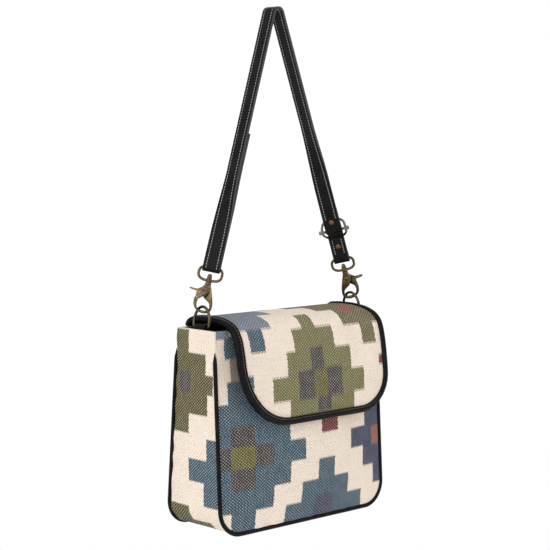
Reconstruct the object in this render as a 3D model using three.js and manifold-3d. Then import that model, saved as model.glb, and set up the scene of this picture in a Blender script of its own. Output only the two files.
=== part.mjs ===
// Shoulder bag of flat-woven cloth with a leather-bound flap, hung by its strap.
// Millimetres, +Z up, +X to the wearer's right of the front, -Y out of the front.
// The bag is built on its flat base at z = 0, and the whole is then moved so that
// the origin is the underside of the strap's top fold, where a shoulder or a peg holds it.

import * as THREE from 'three';
import { mergeVertices } from 'three/addons/utils/BufferGeometryUtils.js';
import Module from 'manifold-3d';

const wasm = await Module();
wasm.setup();

// Bag body
const bagWidth = 247; // outer faces of the gusset
const bagHeight = 218; // flat base to the mouth
const mouthDepth = 60; // front seam to back seam at the mouth
const frontFlare = 11; // how far the front seam stands further out at the base
const backFlare = 17;
const cornerRadius = 28; // bottom corners of the panels
const clothThickness = 2.4;
const frontBulge = 11;
const backBulge = 7;
const gussetBow = 2;
const liningThickness = 0.8;
const liningDrop = 1; // lining's edge below the mouth
const seamGap = 0.3;
const liningGap = 0.9; // loose lining to the cloth
const pipingRadius = 2.3;
const pipingDrop = 22; // mouth to the pointed top of the piping
const pipingTaper = 12;
const pipingTip = 0.5;
const pipingSink = 0.45; // piping's centre behind the panel's face

// Flap
const flapBackHalfWidth = 112;
const flapRidgeHalfWidth = 110;
const flapRightReach = 118; // front part, right of the middle
const flapLeftReach = 108;
const flapRightCorner = 42;
const flapLeftCorner = 74;
const flapLiningThickness = 1.2;
const bindingWidth = 10.5;
const bindingThickness = 1.1;
const bindingGap = 0.5; // cloth to the inside of the binding
const magnetRadius = 9;
const magnetThickness = 2.2;
const magnetDrop = 84; // mouth to the magnets' middle

// Tabs and D-rings
const ringWireRadius = 1.6;
const ringWidth = 28; // outside
const ringRise = 22.2; // bar's centre to the arch's centre
const tabWidth = 18;
const tabLeafThickness = 1.6;
const tabLength = 30;
const barAboveMouth = 1.6;
const barInset = 3.6; // bar's centre from the lining
const ringReachIn = 2.6; // how far the ring leans towards the middle

// Trigger hooks, each in a frame with its origin at the swivel joint and +z towards the eye
const eyeWireRadius = 1.5;
const eyeHalfWidth = 12.8; // wire centre
const eyeHalfHeight = 7.6;
const eyeBottom = 1.9; // wire centre above the swivel joint
const eyeSquareness = 2.8; // 2 is an ellipse, more is squarer
const bossRadius = 3.7;
const bossHeight = 4.4;
const postRadius = 1.5;
const postClearance = 0.3;
const knobRadius = 2.7;
const knobHeight = 4.6;
const clawThickness = 5;
const pivotBelowJoint = 8.4;
const throatFloor = 30.6; // swivel joint to the inside of the claw's bend
const gateRadius = 4.0; // round end of the gate's plate
const toeRadius = 13.2; // pivot to the end of the gate
const gateClearance = 0.3;
const gateTravel = 28; // degrees
const rivetRadius = 0.85;
const rivetHeadRadius = 1.9;
const rivetHeadHeight = 0.7;
const springWireRadius = 0.25;
const springRadius = 1.75;
const springTurns = 1.75;
const hookYaw = 43; // degrees, the claws' plane from the X axis
const throatClearance = 2.4; // ring's wire above the claw's bend

// Strap
const strapWidth = 19;
const strapThickness = 3.2;
const skivedThickness = 2.4; // folded ends are thinned
const billetThickness = 2.4;
const strapTop = 566; // outside of the top fold above the base
const strapTopShift = -10; // top fold from the bag's middle
const foldRadius = 6.5; // strap's middle layer at the top fold
const endTwist = 40; // degrees, the strap's ends turn towards the front
const turnedBackLength = 150;
const strapClearance = 0.3;

// Buckle, in a frame with its origin at the middle of the bar and +y out of its front
const buckleAboveEye = 35; // eye's top to the buckle's bar, along the strap
const barRadius = 1.4;
const barHalfLength = 17.8;
const barKnobRadius = 2.3;
const barLoopThickness = 1.6;
const barBehindStrap = 2.0;
const frameHalfWidth = 13.6; // wire centre
const frameHalfHeight = 10.4;
const frameCorner = 7.5;
const frameArch = 7.0; // rails stand this far in front of the bar
const frameWireWidth = 1.5;
const frameWireThickness = 1.1;
const prongRadius = 1.0;
const billetTip = 25; // past the bar
const turnedEndAboveBar = 18;
const strapRivetRadius = 1.2;
const strapRivetHeadRadius = 3.0;
const strapRivetHeadHeight = 1.0;
const upperRivetAboveBar = 11.5;
const lowerRivetAboveEye = 15;
const billetTurnedEnd = 26; // end of its folded-back layer above the eye

const halfWidth = bagWidth / 2;
const radians = THREE.MathUtils.degToRad;
const vector = (x, y, z) => new THREE.Vector3(x, y, z);
const mix = THREE.MathUtils.lerp;
const smooth = THREE.MathUtils.smoothstep;

// Solids

function signedVolume(positions, index) {
  const corner = (i) => vector(...positions.slice(3 * i, 3 * i + 3));
  let total = 0;
  for (let i = 0; i < index.length; i += 3) {
    total += corner(index[i]).dot(corner(index[i + 1]).cross(corner(index[i + 2])));
  }
  return total;
}

function facingOut(positions, index) {
  const turned = signedVolume(positions, index) < 0 ? [...index].reverse() : index;
  const geometry = new THREE.BufferGeometry();
  geometry.setAttribute('position', new THREE.Float32BufferAttribute(positions, 3));
  geometry.setIndex(turned);
  return geometry;
}

// A closed body through rings of points. Each open end is closed by strips across the ring.
function loft(rings, isLoop = false) {
  const count = rings[0].length;
  const positions = rings.flat().flatMap((point) => [point.x, point.y, point.z]);
  const index = [];
  const spans = isLoop ? rings.length : rings.length - 1;
  for (let i = 0; i < spans; i += 1) {
    const near = i * count;
    const far = ((i + 1) % rings.length) * count;
    for (let j = 0; j < count; j += 1) {
      const k = (j + 1) % count;
      index.push(near + j, far + j, far + k);
      index.push(near + j, far + k, near + k);
    }
  }
  if (!isLoop) {
    const last = (rings.length - 1) * count;
    for (let j = 0; j < count / 2 - 1; j += 1) {
      const across = count - 1 - j;
      index.push(j, j + 1, across - 1, j, across - 1, across);
      index.push(last + j + 1, last + j, last + across - 1);
      index.push(last + across - 1, last + j, last + across);
    }
  }
  return facingOut(positions, index);
}

// One ring of a sheet: its outer row of points, then its inner row on the way back
const sheetRing = (outer, inner) => [...outer, ...inner.reverse()];

const ovalOutline = (a, b, sides) => Array.from({ length: sides }, (_, i) => {
  const angle = (2 * Math.PI * (i + 0.5)) / sides;
  return [a * Math.cos(angle), b * Math.sin(angle)];
});

const placeOutline = (centre, across, up, outline) => outline.map(([a, b]) => (
  centre.clone().addScaledVector(across, a).addScaledVector(up, b)));

// A wire bent along points, its section upright on the given normal of the bend
function bentWire(points, normalAt, outline, isLoop) {
  const last = points.length - 1;
  const rings = points.map((point, i) => {
    const before = points[isLoop ? (i + last) % points.length : Math.max(i - 1, 0)];
    const after = points[isLoop ? (i + 1) % points.length : Math.min(i + 1, last)];
    const along = after.clone().sub(before).normalize();
    const up = normalAt(i).clone().addScaledVector(along, -along.dot(normalAt(i))).normalize();
    return placeOutline(point, up.clone().cross(along), up, outline);
  });
  return loft(rings, isLoop);
}

function solid(geometry) {
  const bare = geometry.clone();
  bare.deleteAttribute('normal');
  bare.deleteAttribute('uv');
  const merged = mergeVertices(bare, 1e-4);
  return new wasm.Manifold(new wasm.Mesh({
    numProp: 3,
    vertProperties: new Float32Array(merged.attributes.position.array),
    triVerts: new Uint32Array(merged.index.array),
  }));
}

function geometryOf(body) {
  const mesh = body.getMesh();
  const geometry = new THREE.BufferGeometry();
  geometry.setAttribute('position', new THREE.Float32BufferAttribute(mesh.vertProperties, 3));
  geometry.setIndex(new THREE.Uint32BufferAttribute(mesh.triVerts, 1));
  return geometry;
}

const join = (...parts) => geometryOf(parts.map(solid).reduce((sum, next) => sum.add(next)));

const cut = (whole, ...tools) => geometryOf(
  tools.map(solid).reduce((rest, tool) => rest.subtract(tool), solid(whole)),
);

// A plate drawn in X and Z, from one Y to another, with its rims rounded
function plate(points, fromY, toY, { rim = 0, grow = 0, holes = [] } = {}) {
  const shape = new THREE.Shape(points.map(([x, z]) => new THREE.Vector2(x, z)));
  holes.forEach(([x, z, radius]) => {
    shape.holes.push(new THREE.Path().absarc(x, z, radius, 0, 2 * Math.PI));
  });
  const bevel = Math.max(rim, 0.001);
  const geometry = new THREE.ExtrudeGeometry(shape, {
    depth: toY - fromY - 2 * bevel,
    curveSegments: 16,
    bevelEnabled: true,
    bevelThickness: bevel,
    bevelSize: bevel,
    bevelOffset: grow - bevel,
    bevelSegments: 1,
  });
  geometry.rotateX(Math.PI / 2);
  geometry.translate(0, toY - bevel, 0);
  return geometry;
}

// A turned piece on the Z axis, from a profile of radius and height that starts and ends on it
const turned = (profile, sides = 16) => {
  const points = profile.map(([r, z]) => new THREE.Vector2(r, z));
  return new THREE.LatheGeometry(points, sides).rotateX(Math.PI / 2);
};

// The same piece lying along +Y or along +X
const alongY = (geometry) => geometry.rotateX(-Math.PI / 2);
const alongX = (geometry) => geometry.rotateY(Math.PI / 2);

const rod = (radius, from, to, sides = 16) => (
  turned([[0, from], [radius, from], [radius, to], [0, to]], sides));

function arc(cx, cy, radius, fromDegrees, toDegrees, steps) {
  return Array.from({ length: steps + 1 }, (_, i) => {
    const angle = radians(mix(fromDegrees, toDegrees, i / steps));
    return [cx + radius * Math.cos(angle), cy + radius * Math.sin(angle)];
  });
}

const smoothLine = (points, steps) => new THREE.SplineCurve(
  points.map(([x, y]) => new THREE.Vector2(x, y)),
).getPoints(steps).map((point) => [point.x, point.y]);

// Materials

const finish = (color, roughness, metalness = 0) => (
  new THREE.MeshStandardMaterial({ color, roughness, metalness }));
const cloth = finish('#d9cfbc', 0.95);
const blackLeather = finish('#17161a', 0.55);
const blackCloth = finish('#1b1a1c', 0.9);
const antiqueBrass = finish('#7d6c4c', 0.4, 1);
const copperBrown = finish('#6f4a30', 0.4, 1);
const steel = finish('#9a9a98', 0.3, 1);

function mesh(name, geometry, material) {
  const made = new THREE.Mesh(geometry, material);
  made.name = name;
  return made;
}

// Bag body

const rise = (z) => z / bagHeight;
const frontY = (z) => -mouthDepth / 2 - frontFlare * (1 - rise(z));
const backY = (z) => mouthDepth / 2 + backFlare * (1 - rise(z));
const swell = (u, z, most) => (
  most * (1 - u * u) * (0.25 * rise(z) + Math.sin(Math.PI * rise(z) ** 0.8)));

// Half the width of the panels' outline at a height, moved in from the gusset's outer face
function outlineHalfWidth(z, inset) {
  const radius = cornerRadius - inset;
  const below = cornerRadius - z;
  const flat = halfWidth - cornerRadius;
  return below <= 0 ? flat + radius : flat + Math.sqrt(Math.max(radius ** 2 - below ** 2, 0));
}

// Heights for the rows of a panel, close together in the rounded corners
function rowHeights(inset, top) {
  const radius = cornerRadius - inset;
  const corner = [0, 15, 30, 45, 60, 75].map((angle) => cornerRadius - radius * Math.cos(radians(angle)));
  const straight = Array.from({ length: 8 }, (_, i) => mix(cornerRadius, top, i / 7));
  return [...corner, ...straight];
}

const columns = Array.from({ length: 11 }, (_, i) => Math.sin((Math.PI / 2) * (i / 5 - 1)));

function panel(side) {
  const inset = clothThickness + seamGap;
  const faceY = side < 0 ? frontY : backY;
  const bulge = side < 0 ? frontBulge : backBulge;
  const rings = rowHeights(inset, bagHeight).map((z) => {
    const reach = outlineHalfWidth(z, inset);
    const row = (depth) => columns.map((u) => (
      vector(u * reach, faceY(z) + side * (swell(u, z, bulge) - depth), z)));
    return sheetRing(row(0), row(clothThickness));
  });
  return loft(rings);
}

// Piping's radius and the room it needs, by the distance below its pointed top
const pipingRadiusAt = (below) => mix(pipingTip, pipingRadius, smooth(below, 0, pipingTaper));
const pipingRoomAt = (below) => (below < 0 ? 0 : pipingSink + pipingRadiusAt(below) + seamGap);

// Stations along the gusset's U, from the left of the mouth round the base to the right
function gussetStations() {
  const start = bagHeight - pipingDrop;
  const taperEnd = start - pipingTaper;
  const heights = [bagHeight, start + 3, start, mix(start, taperEnd, 0.5), taperEnd];
  for (let i = 1; i <= 4; i += 1) {
    heights.push(mix(taperEnd, cornerRadius, i / 4));
  }
  const flat = halfWidth - cornerRadius;
  const left = heights.map((z) => ({ x: -halfWidth, z, nx: -1, nz: 0 }));
  for (let i = 1; i <= 5; i += 1) {
    const [nx, nz] = [-Math.cos(radians(15 * i)), -Math.sin(radians(15 * i))];
    left.push({ x: cornerRadius * nx - flat, z: cornerRadius * (1 + nz), nx, nz });
  }
  for (let i = 0; i < 4; i += 1) {
    left.push({ x: mix(-flat, 0, i / 4), z: 0, nx: 0, nz: -1 });
  }
  const right = left.map(({ x, z, nx, nz }) => ({ x: -x, z, nx: -nx, nz })).reverse();
  return [...left, { x: 0, z: 0, nx: 0, nz: -1 }, ...right];
}

const stations = gussetStations();
const onStation = ({ x, z, nx, nz }, out, y) => vector(x + nx * out, y, z + nz * out);

function gusset() {
  const rings = stations.map((station) => {
    const room = pipingRoomAt(bagHeight - pipingDrop - station.z);
    const front = frontY(station.z) + room;
    const back = backY(station.z) - room;
    const bow = gussetBow * Math.abs(station.nx) * Math.sin(Math.PI * rise(station.z));
    const row = (depth) => [-1, -0.5, 0, 0.5, 1].map((v) => (
      onStation(station, bow * (1 - v * v) - depth, mix(front, back, (v + 1) / 2))));
    return sheetRing(row(0), row(clothThickness));
  });
  return loft(rings);
}

function piping(side) {
  const faceY = side < 0 ? frontY : backY;
  const inset = pipingRadius - clothThickness;
  const rings = stations.filter(({ z }) => z <= bagHeight - pipingDrop).map((station) => {
    const radius = pipingRadiusAt(bagHeight - pipingDrop - station.z);
    const centre = onStation(station, inset, faceY(station.z) - side * pipingSink);
    const out = vector(station.nx, 0, station.nz);
    return placeOutline(centre, out, vector(0, 1, 0), ovalOutline(radius, radius, 8));
  });
  return loft(rings);
}

function lining() {
  const inset = clothThickness + liningGap;
  const ringAt = (z, wall) => {
    const reach = outlineHalfWidth(z, inset + wall);
    const depth = inset + wall;
    const front = columns.map((u) => (
      vector(u * reach, frontY(z) - swell(u, z, frontBulge) + depth, z)));
    const back = columns.map((u) => (
      vector(u * reach, backY(z) + swell(u, z, backBulge) - depth, z)));
    return sheetRing(front, back);
  };
  const rows = (wall) => rowHeights(inset + wall, bagHeight - liningDrop).map((z) => ringAt(z, wall));
  return loft([...rows(0), ...rows(liningThickness).reverse()]);
}

// Flap: a flat pattern bent along a side profile. Its place is by distance along the profile
// from the seam on the back panel's top edge, and by X across it.

const bindingFace = clothThickness / 2 + seamGap / 2 + flapLiningThickness / 2;
const flapProfile = new THREE.CatmullRomCurve3([
  [29.0, bagHeight + 0.7], [28.2, bagHeight + 3.8], [23.5, bagHeight + 7.2], [13, bagHeight + 9],
  [0, bagHeight + 9.4], [-14, bagHeight + 9], [-28, bagHeight + 6.6], [-38.2, bagHeight + 0.6],
  [-44.8, bagHeight - 10], [-48.4, bagHeight - 23], [-51.2, bagHeight - 40],
  [-53.4, bagHeight - 62], [-54, bagHeight - 82], [-53.2, bagHeight - 106],
].map(([y, z]) => vector(0, y, z)), false, 'centripetal');
const flapLength = flapProfile.getLength();

// A point of the flap's middle layer, moved out along its normal
function flapPoint(x, along, out) {
  const t = Math.min(Math.max(along / flapLength, 0), 1);
  const point = flapProfile.getPointAt(t);
  const tangent = flapProfile.getTangentAt(t);
  const normal = vector(0, -tangent.z, tangent.y).multiplyScalar(-1);
  return point.addScaledVector(normal, out).setX(x);
}

// The flap's half pattern on one side: its reach from the middle at a distance along it.
// It narrows between the D-rings and widens again in front of them.
const flapBend = 2;
const flapRidge = 20;
const flapRingClear = 50; // past the D-rings
const flapShoulder = 84;

function flapReach(along, front, corner, inset) {
  const back = mix(flapBackHalfWidth, flapRidgeHalfWidth, smooth(along, flapBend, flapRidge));
  const reach = mix(back, front, smooth(along, flapRingClear, flapShoulder)) - inset;
  const short = flapLength - inset - along;
  const radius = corner - inset;
  const bend = Math.sqrt(Math.max(radius ** 2 - (radius - short) ** 2, 0));
  return short >= radius ? reach : reach - radius + bend;
}

// Distances along the flap down to its rounded corners, closer together over the ridge
const flapStraight = flapLength - flapLeftCorner;
const flapStations = Array.from({ length: 15 }, (_, i) => flapStraight * (i / 14) ** 1.4);

function flapRows(inset) {
  const corner = flapLeftCorner - inset;
  const round = [18, 36, 54, 68, 80, 90].map((angle) => flapStraight + corner * Math.sin(radians(angle)));
  return [...flapStations, ...round];
}

function flapLayer(inset, fromOut, toOut) {
  const rings = flapRows(inset).map((along) => {
    const left = -flapReach(along, flapLeftReach, flapLeftCorner, inset);
    const right = flapReach(along, flapRightReach, flapRightCorner, inset);
    const row = (out) => columns.map((u) => flapPoint(mix(left, right, (u + 1) / 2), along, out));
    return sheetRing(row(toOut), row(fromOut));
  });
  return loft(rings);
}

// The flap's edge from the back seam down the left, along the bottom and up the right
function flapEdge() {
  const side = (sign, front, corner) => {
    const below = [flapStraight + 11, flapStraight + 22].filter((along) => along < flapLength - corner);
    const straight = [...flapStations, ...below].filter((along) => along < flapLength - corner - 1)
      .map((along) => [sign * flapReach(along, front, corner, 0), along]);
    const round = arc(0, flapLength - corner, corner, 0, 90, 8)
      .map(([x, along]) => [sign * (front - corner + x), along]);
    return [...straight, ...round];
  };
  const left = side(-1, flapLeftReach, flapLeftCorner);
  const right = side(1, flapRightReach, flapRightCorner).reverse();
  const bottom = [0.25, 0.5, 0.75].map((share) => [mix(left.at(-1)[0], right[0][0], share), flapLength]);
  return [...left, ...bottom, ...right];
}

// Leather channel round the flap's edge: its outer skin, then its inner one on the way back
function flapBinding() {
  const edge = flapEdge();
  const leg = bindingWidth - bindingThickness;
  const inside = bindingFace + bindingGap;
  const face = inside + bindingThickness;
  const skin = (reach, half) => [[-leg, half], [reach - 1, half], [reach - 0.3, half * 0.7],
    [reach - 0.3, -half * 0.7], [reach - 1, -half], [-leg, -half]];
  const outline = sheetRing(skin(0, face), skin(-bindingThickness, inside));
  const rings = edge.map(([x, along], i) => {
    const [bx, ba] = edge[Math.max(i - 1, 0)];
    const [ax, aa] = edge[Math.min(i + 1, edge.length - 1)];
    const outward = new THREE.Vector2(-(aa - ba), ax - bx).normalize();
    return outline.map(([out, up]) => {
      const s = Math.max(along + outward.y * out, 0);
      return flapPoint(x + outward.x * out, s, up);
    });
  });
  return loft(rings);
}

const bindingRoom = bindingThickness + 1 + bindingGap;

// How far round the flap a height on its front is
function flapAt(z) {
  let [low, high] = [flapRidge, flapLength];
  while (high - low > 1e-4) {
    const middle = (low + high) / 2;
    [low, high] = flapPoint(0, middle, 0).z > z ? [middle, high] : [low, middle];
  }
  return low;
}

// Two discs that face each other, one on the flap's lining and one on the front panel
function magnet(side) {
  const z = bagHeight - magnetDrop;
  const rims = [z - magnetRadius, z, z + magnetRadius];
  const panelFace = Math.min(...rims.map((at) => frontY(at) - swell(0, at, frontBulge))) - seamGap;
  const flapFace = Math.max(...rims.map((at) => flapPoint(0, flapAt(at), -bindingFace).y)) + seamGap;
  const [from, to] = side < 0
    ? [flapFace, flapFace + magnetThickness]
    : [panelFace - magnetThickness, panelFace];
  return alongY(rod(magnetRadius, from, to, 24)).translate(0, 0, z);
}

// Tabs and D-rings

const liningFace = halfWidth - clothThickness - liningGap - liningThickness - seamGap;
const ringBar = vector(liningFace - barInset, 0, bagHeight + barAboveMouth);

function tab(side) {
  const loop = ringWireRadius + seamGap + tabLeafThickness;
  const stack = 2 * tabLeafThickness;
  const foot = bagHeight - tabLength;
  const kneeZ = bagHeight - 8;
  const rounded = arc(barInset, ringBar.z, loop, 180, 0, 12);
  const outline = [[0, foot], [0, kneeZ], ...rounded, [stack + 0.4, kneeZ], [stack, foot]];
  const across = (q) => side * (liningFace - q);
  return plate(outline.map(([q, z]) => [across(q), z]), -tabWidth / 2, tabWidth / 2, {
    holes: [[across(barInset), ringBar.z, ringWireRadius + seamGap]],
  });
}

// The D in its own frame: the bar along Y at the origin, the arch above it
function dRing() {
  const reach = ringWidth / 2 - ringWireRadius;
  const spring = 6;
  const foot = 2.4;
  const arch = Array.from({ length: 17 }, (_, i) => {
    const angle = (Math.PI * i) / 16;
    return [reach * Math.cos(angle), spring + (ringRise - spring) * Math.sin(angle)];
  });
  const corner = (sign) => arc(sign * (reach - foot), foot, foot, -90, 0, 3).map(([y, z]) => (
    [sign < 0 ? 2 * sign * (reach - foot) - y : y, z]));
  const flat = [[-reach / 3, 0], [reach / 3, 0]];
  const path = [...flat, ...corner(1), ...arch, ...corner(-1).reverse()];
  const points = path.map(([y, z]) => vector(0, y, z));
  return bentWire(points, () => vector(1, 0, 0), ovalOutline(ringWireRadius, ringWireRadius, 8), true);
}

// Trigger hook

function hookEye() {
  const power = 2 / eyeSquareness;
  const bend = (value) => Math.sign(value) * Math.abs(value) ** power;
  const points = Array.from({ length: 26 }, (_, i) => {
    const angle = (2 * Math.PI * (i + 0.5)) / 26;
    const x = eyeHalfWidth * bend(Math.cos(angle));
    return vector(x, 0, eyeBottom + eyeHalfHeight * (1 + bend(Math.sin(angle))));
  });
  const wire = bentWire(points, () => vector(0, 1, 0), ovalOutline(eyeWireRadius, eyeWireRadius, 8), true);
  const boss = turned([[0, gateClearance], [bossRadius - 0.4, gateClearance], [bossRadius, 1.2],
    [bossRadius - 0.3, 3.2], [bossRadius - 1.0, bossHeight], [0, bossHeight]], 12);
  return cut(join(wire, boss), rod(postRadius + postClearance, -1, bossHeight + 1));
}

function swivelPost() {
  const foot = bossHeight + postClearance;
  const top = foot + knobHeight;
  return turned([[0, -2.6], [postRadius, -2.6], [postRadius, foot], [knobRadius, foot],
    [knobRadius, foot + 1.2], [knobRadius - 0.5, top - 1.4], [knobRadius - 1.2, top - 0.3], [0, top]]);
}

const pivot = [0, -pivotBelowJoint];

function clawOutline() {
  const spine = smoothLine([[-2.9, -0.6], [-3.5, -3.2], [-5.3, -8.4], [-7.5, -15], [-9.2, -21.5],
    [-9.5, -26.8], [-7.4, -31.6], [-2.4, -throatFloor - 3], [3.2, -throatFloor - 2.6],
    [8.2, -30.2], [10.9, -25.6], [11.3, -20.6], [10.9, -17.6]], 24);
  const throat = smoothLine([[7.1, -20.2], [7.7, -24], [6.4, -28.4], [3.0, -throatFloor],
    [-3.4, -throatFloor], [-6.3, -28.2], [-6.5, -25], [-5.0, -21.6], [-1.8, -19.4]], 16);
  const body = [[1.2, -17.4], [3.4, -14.2], [5.6, -10.0], [4.8, -5.4], [3.2, -2.6], [2.9, -0.6]];
  return [...spine, [9.8, -16.6], [7.4, -17.9], ...throat, ...body];
}

// Gate: a plate on the claw's front half, and a toe and thumb tab of full thickness
function gateBody(grow) {
  const [px, pz] = pivot;
  const polar = (radius, degrees) => [
    px + radius * Math.cos(radians(degrees)), pz + radius * Math.sin(radians(degrees))];
  const toe = [-36, -42, -48, -53, -58].map((angle) => polar(toeRadius, angle));
  const round = arc(px, pz, gateRadius, 75, 215, 8);
  const face = clawThickness / 2;
  const plateOutline = [...round, [-1.2, -13.4], polar(toeRadius, -58), ...[...toe].reverse(),
    [10.3, -12.2], [9.9, -9.1], [7.0, -7.2], [4.0, -4.8]];
  const blockOutline = [...toe, [5.9, -16.2], [5.6, -12.4], [6.4, -8.8], [9.9, -9.1], [10.3, -12.2]];
  const thumb = [[8.6, -11.6], [14, -11.0], [18.4, -10.2], [18.8, -9.2], [18.2, -8.6],
    [13.4, -9.0], [8.6, -8.9]];
  return [
    plate(plateOutline, gateClearance - grow, face + (grow > 0 ? 1 : 0), { grow }),
    plate(blockOutline, -face - grow, face + (grow > 0 ? 1 : 0), { grow }),
    plate(thumb, -face + 0.3 - grow, face - 0.3 + grow, { grow }),
  ];
}

function gate() {
  const [px, pz] = pivot;
  const whole = join(...gateBody(0));
  const bore = alongY(rod(rivetRadius + gateClearance, -10, 10)).translate(px, 0, pz);
  const nest = alongY(rod(springRadius + 0.6, 0, 2.05)).translate(px, 0, pz);
  return cut(whole, bore, nest);
}

function claw() {
  const [px, pz] = pivot;
  const face = clawThickness / 2;
  const body = plate(clawOutline(), -face, face, { rim: 0.9 });
  const neck = turned([[0, -5], [2.4, -5], [2.7, -2.4], [3.4, -2.0], [3.4, -0.8], [2.9, 0], [0, 0]]);
  const grown = gateBody(gateClearance);
  const sweep = [0, 0.33, 0.67, 1].flatMap((share) => grown.map((part) => {
    const turn = new THREE.Matrix4().makeRotationY(radians(gateTravel * share));
    return part.clone().translate(-px, 0, -pz).applyMatrix4(turn).translate(px, 0, pz);
  }));
  const bore = alongY(rod(rivetRadius + gateClearance, -10, 10)).translate(px, 0, pz);
  const socket = rod(postRadius + postClearance, -3, 1);
  return cut(join(body, neck), ...sweep, bore, socket);
}

function pivotRivet() {
  const face = clawThickness / 2 + gateClearance;
  const head = rivetHeadHeight;
  const profile = [[0, -face - head], [rivetHeadRadius * 0.6, -face - head * 0.8], [rivetHeadRadius, -face],
    [rivetRadius, -face], [rivetRadius, face], [rivetHeadRadius, face],
    [rivetHeadRadius * 0.6, face + head * 0.8], [0, face + head]];
  return alongY(turned(profile, 12)).translate(pivot[0], 0, pivot[1]);
}

function gateSpring() {
  const steps = Math.round(springTurns * 12);
  const pitch = 2 * springWireRadius + 0.05;
  const points = Array.from({ length: steps + 1 }, (_, i) => {
    const angle = (2 * Math.PI * springTurns * i) / steps;
    const y = gateClearance + springWireRadius + (pitch * springTurns * i) / steps;
    return vector(springRadius * Math.cos(angle), y, springRadius * Math.sin(angle));
  });
  const wire = bentWire(points, () => vector(0, 1, 0), ovalOutline(springWireRadius, springWireRadius, 6));
  return wire.translate(pivot[0], 0, pivot[1]);
}

// Strap legs: each a straight line from the top fold, tangent to it, down to the D-ring's arch

const eyeTop = eyeBottom + 2 * eyeHalfHeight;
const ringInThroat = -throatFloor + throatClearance + ringWireRadius;
const foldCentre = vector(strapTopShift, 0, strapTop - strapThickness / 2 - foldRadius);

function strapLeg(side) {
  const held = vector(side * (ringBar.x - ringReachIn), 0, ringBar.z + Math.sqrt(ringRise ** 2 - ringReachIn ** 2));
  const reach = held.clone().sub(foldCentre);
  const distance = Math.hypot(reach.x, reach.z);
  const spread = Math.atan2(Math.abs(reach.x), -reach.z) - Math.asin(foldRadius / distance);
  const down = vector(side * Math.sin(spread), 0, -Math.cos(spread));
  const out = vector(side * Math.cos(spread), 0, Math.sin(spread));
  const top = foldCentre.clone().addScaledVector(out, foldRadius);
  const length = Math.sqrt(distance ** 2 - foldRadius ** 2) - (eyeTop - ringInThroat);
  return { side, spread, down, out, top, length, held };
}

const legs = { left: strapLeg(-1), right: strapLeg(1) };

// The strap's ends turn a little towards the front
function legTwist(leg, along) {
  const lead = leg.side < 0 ? [110, 20] : [buckleAboveEye + 130, buckleAboveEye + 30];
  return -radians(endTwist) * smooth(along, leg.length - lead[0], leg.length - lead[1]);
}

// Across is the strap's width and out its outward face, at a distance down the leg
function legFrame(leg, along) {
  const turn = new THREE.Quaternion().setFromAxisAngle(leg.down, legTwist(leg, along));
  const across = vector(0, -1, 0).applyQuaternion(turn);
  const out = leg.out.clone().applyQuaternion(turn);
  const centre = leg.top.clone().addScaledVector(leg.down, along);
  return { across, out, centre };
}

function onLeg(leg, along, offset, thickness) {
  const { across, out, centre } = legFrame(leg, along);
  return { point: centre.addScaledVector(out, offset), across, thickness };
}

// A flat band of leather through stations of a centre, a width direction and a thickness
function band(path, width) {
  const rings = path.map(({ point, across, thickness }, i) => {
    const along = path[Math.min(i + 1, path.length - 1)].point.clone().sub(path[Math.max(i - 1, 0)].point);
    const up = along.cross(across).normalize();
    const outline = [[-width / 2, -thickness / 2], [width / 2, -thickness / 2],
      [width / 2, thickness / 2], [-width / 2, thickness / 2]];
    return placeOutline(point, across, up, outline);
  });
  return loft(rings);
}

// How far the eye's wire droops at the strap's edges, where the fold bears on it
const eyeDroop = eyeHalfHeight
  * (1 - (1 - (strapWidth / 2 / eyeHalfWidth) ** eyeSquareness) ** (1 / eyeSquareness)) + 0.3;

// Stations round a fold at a distance down the leg, from one offset of the leg to the other
function foldStations(leg, along, middle, radius, thickness, sign) {
  const steps = 10;
  return Array.from({ length: steps + 1 }, (_, i) => {
    const angle = (Math.PI * i) / steps;
    return onLeg(leg, along + radius * Math.sin(angle), middle + sign * radius * Math.cos(angle), thickness);
  });
}

const eyeFoldRadius = eyeWireRadius + strapClearance + skivedThickness / 2;
const billetFoldRadius = eyeWireRadius + strapClearance + billetThickness / 2;
const barFoldRadius = barRadius + strapClearance + barLoopThickness / 2;

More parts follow.
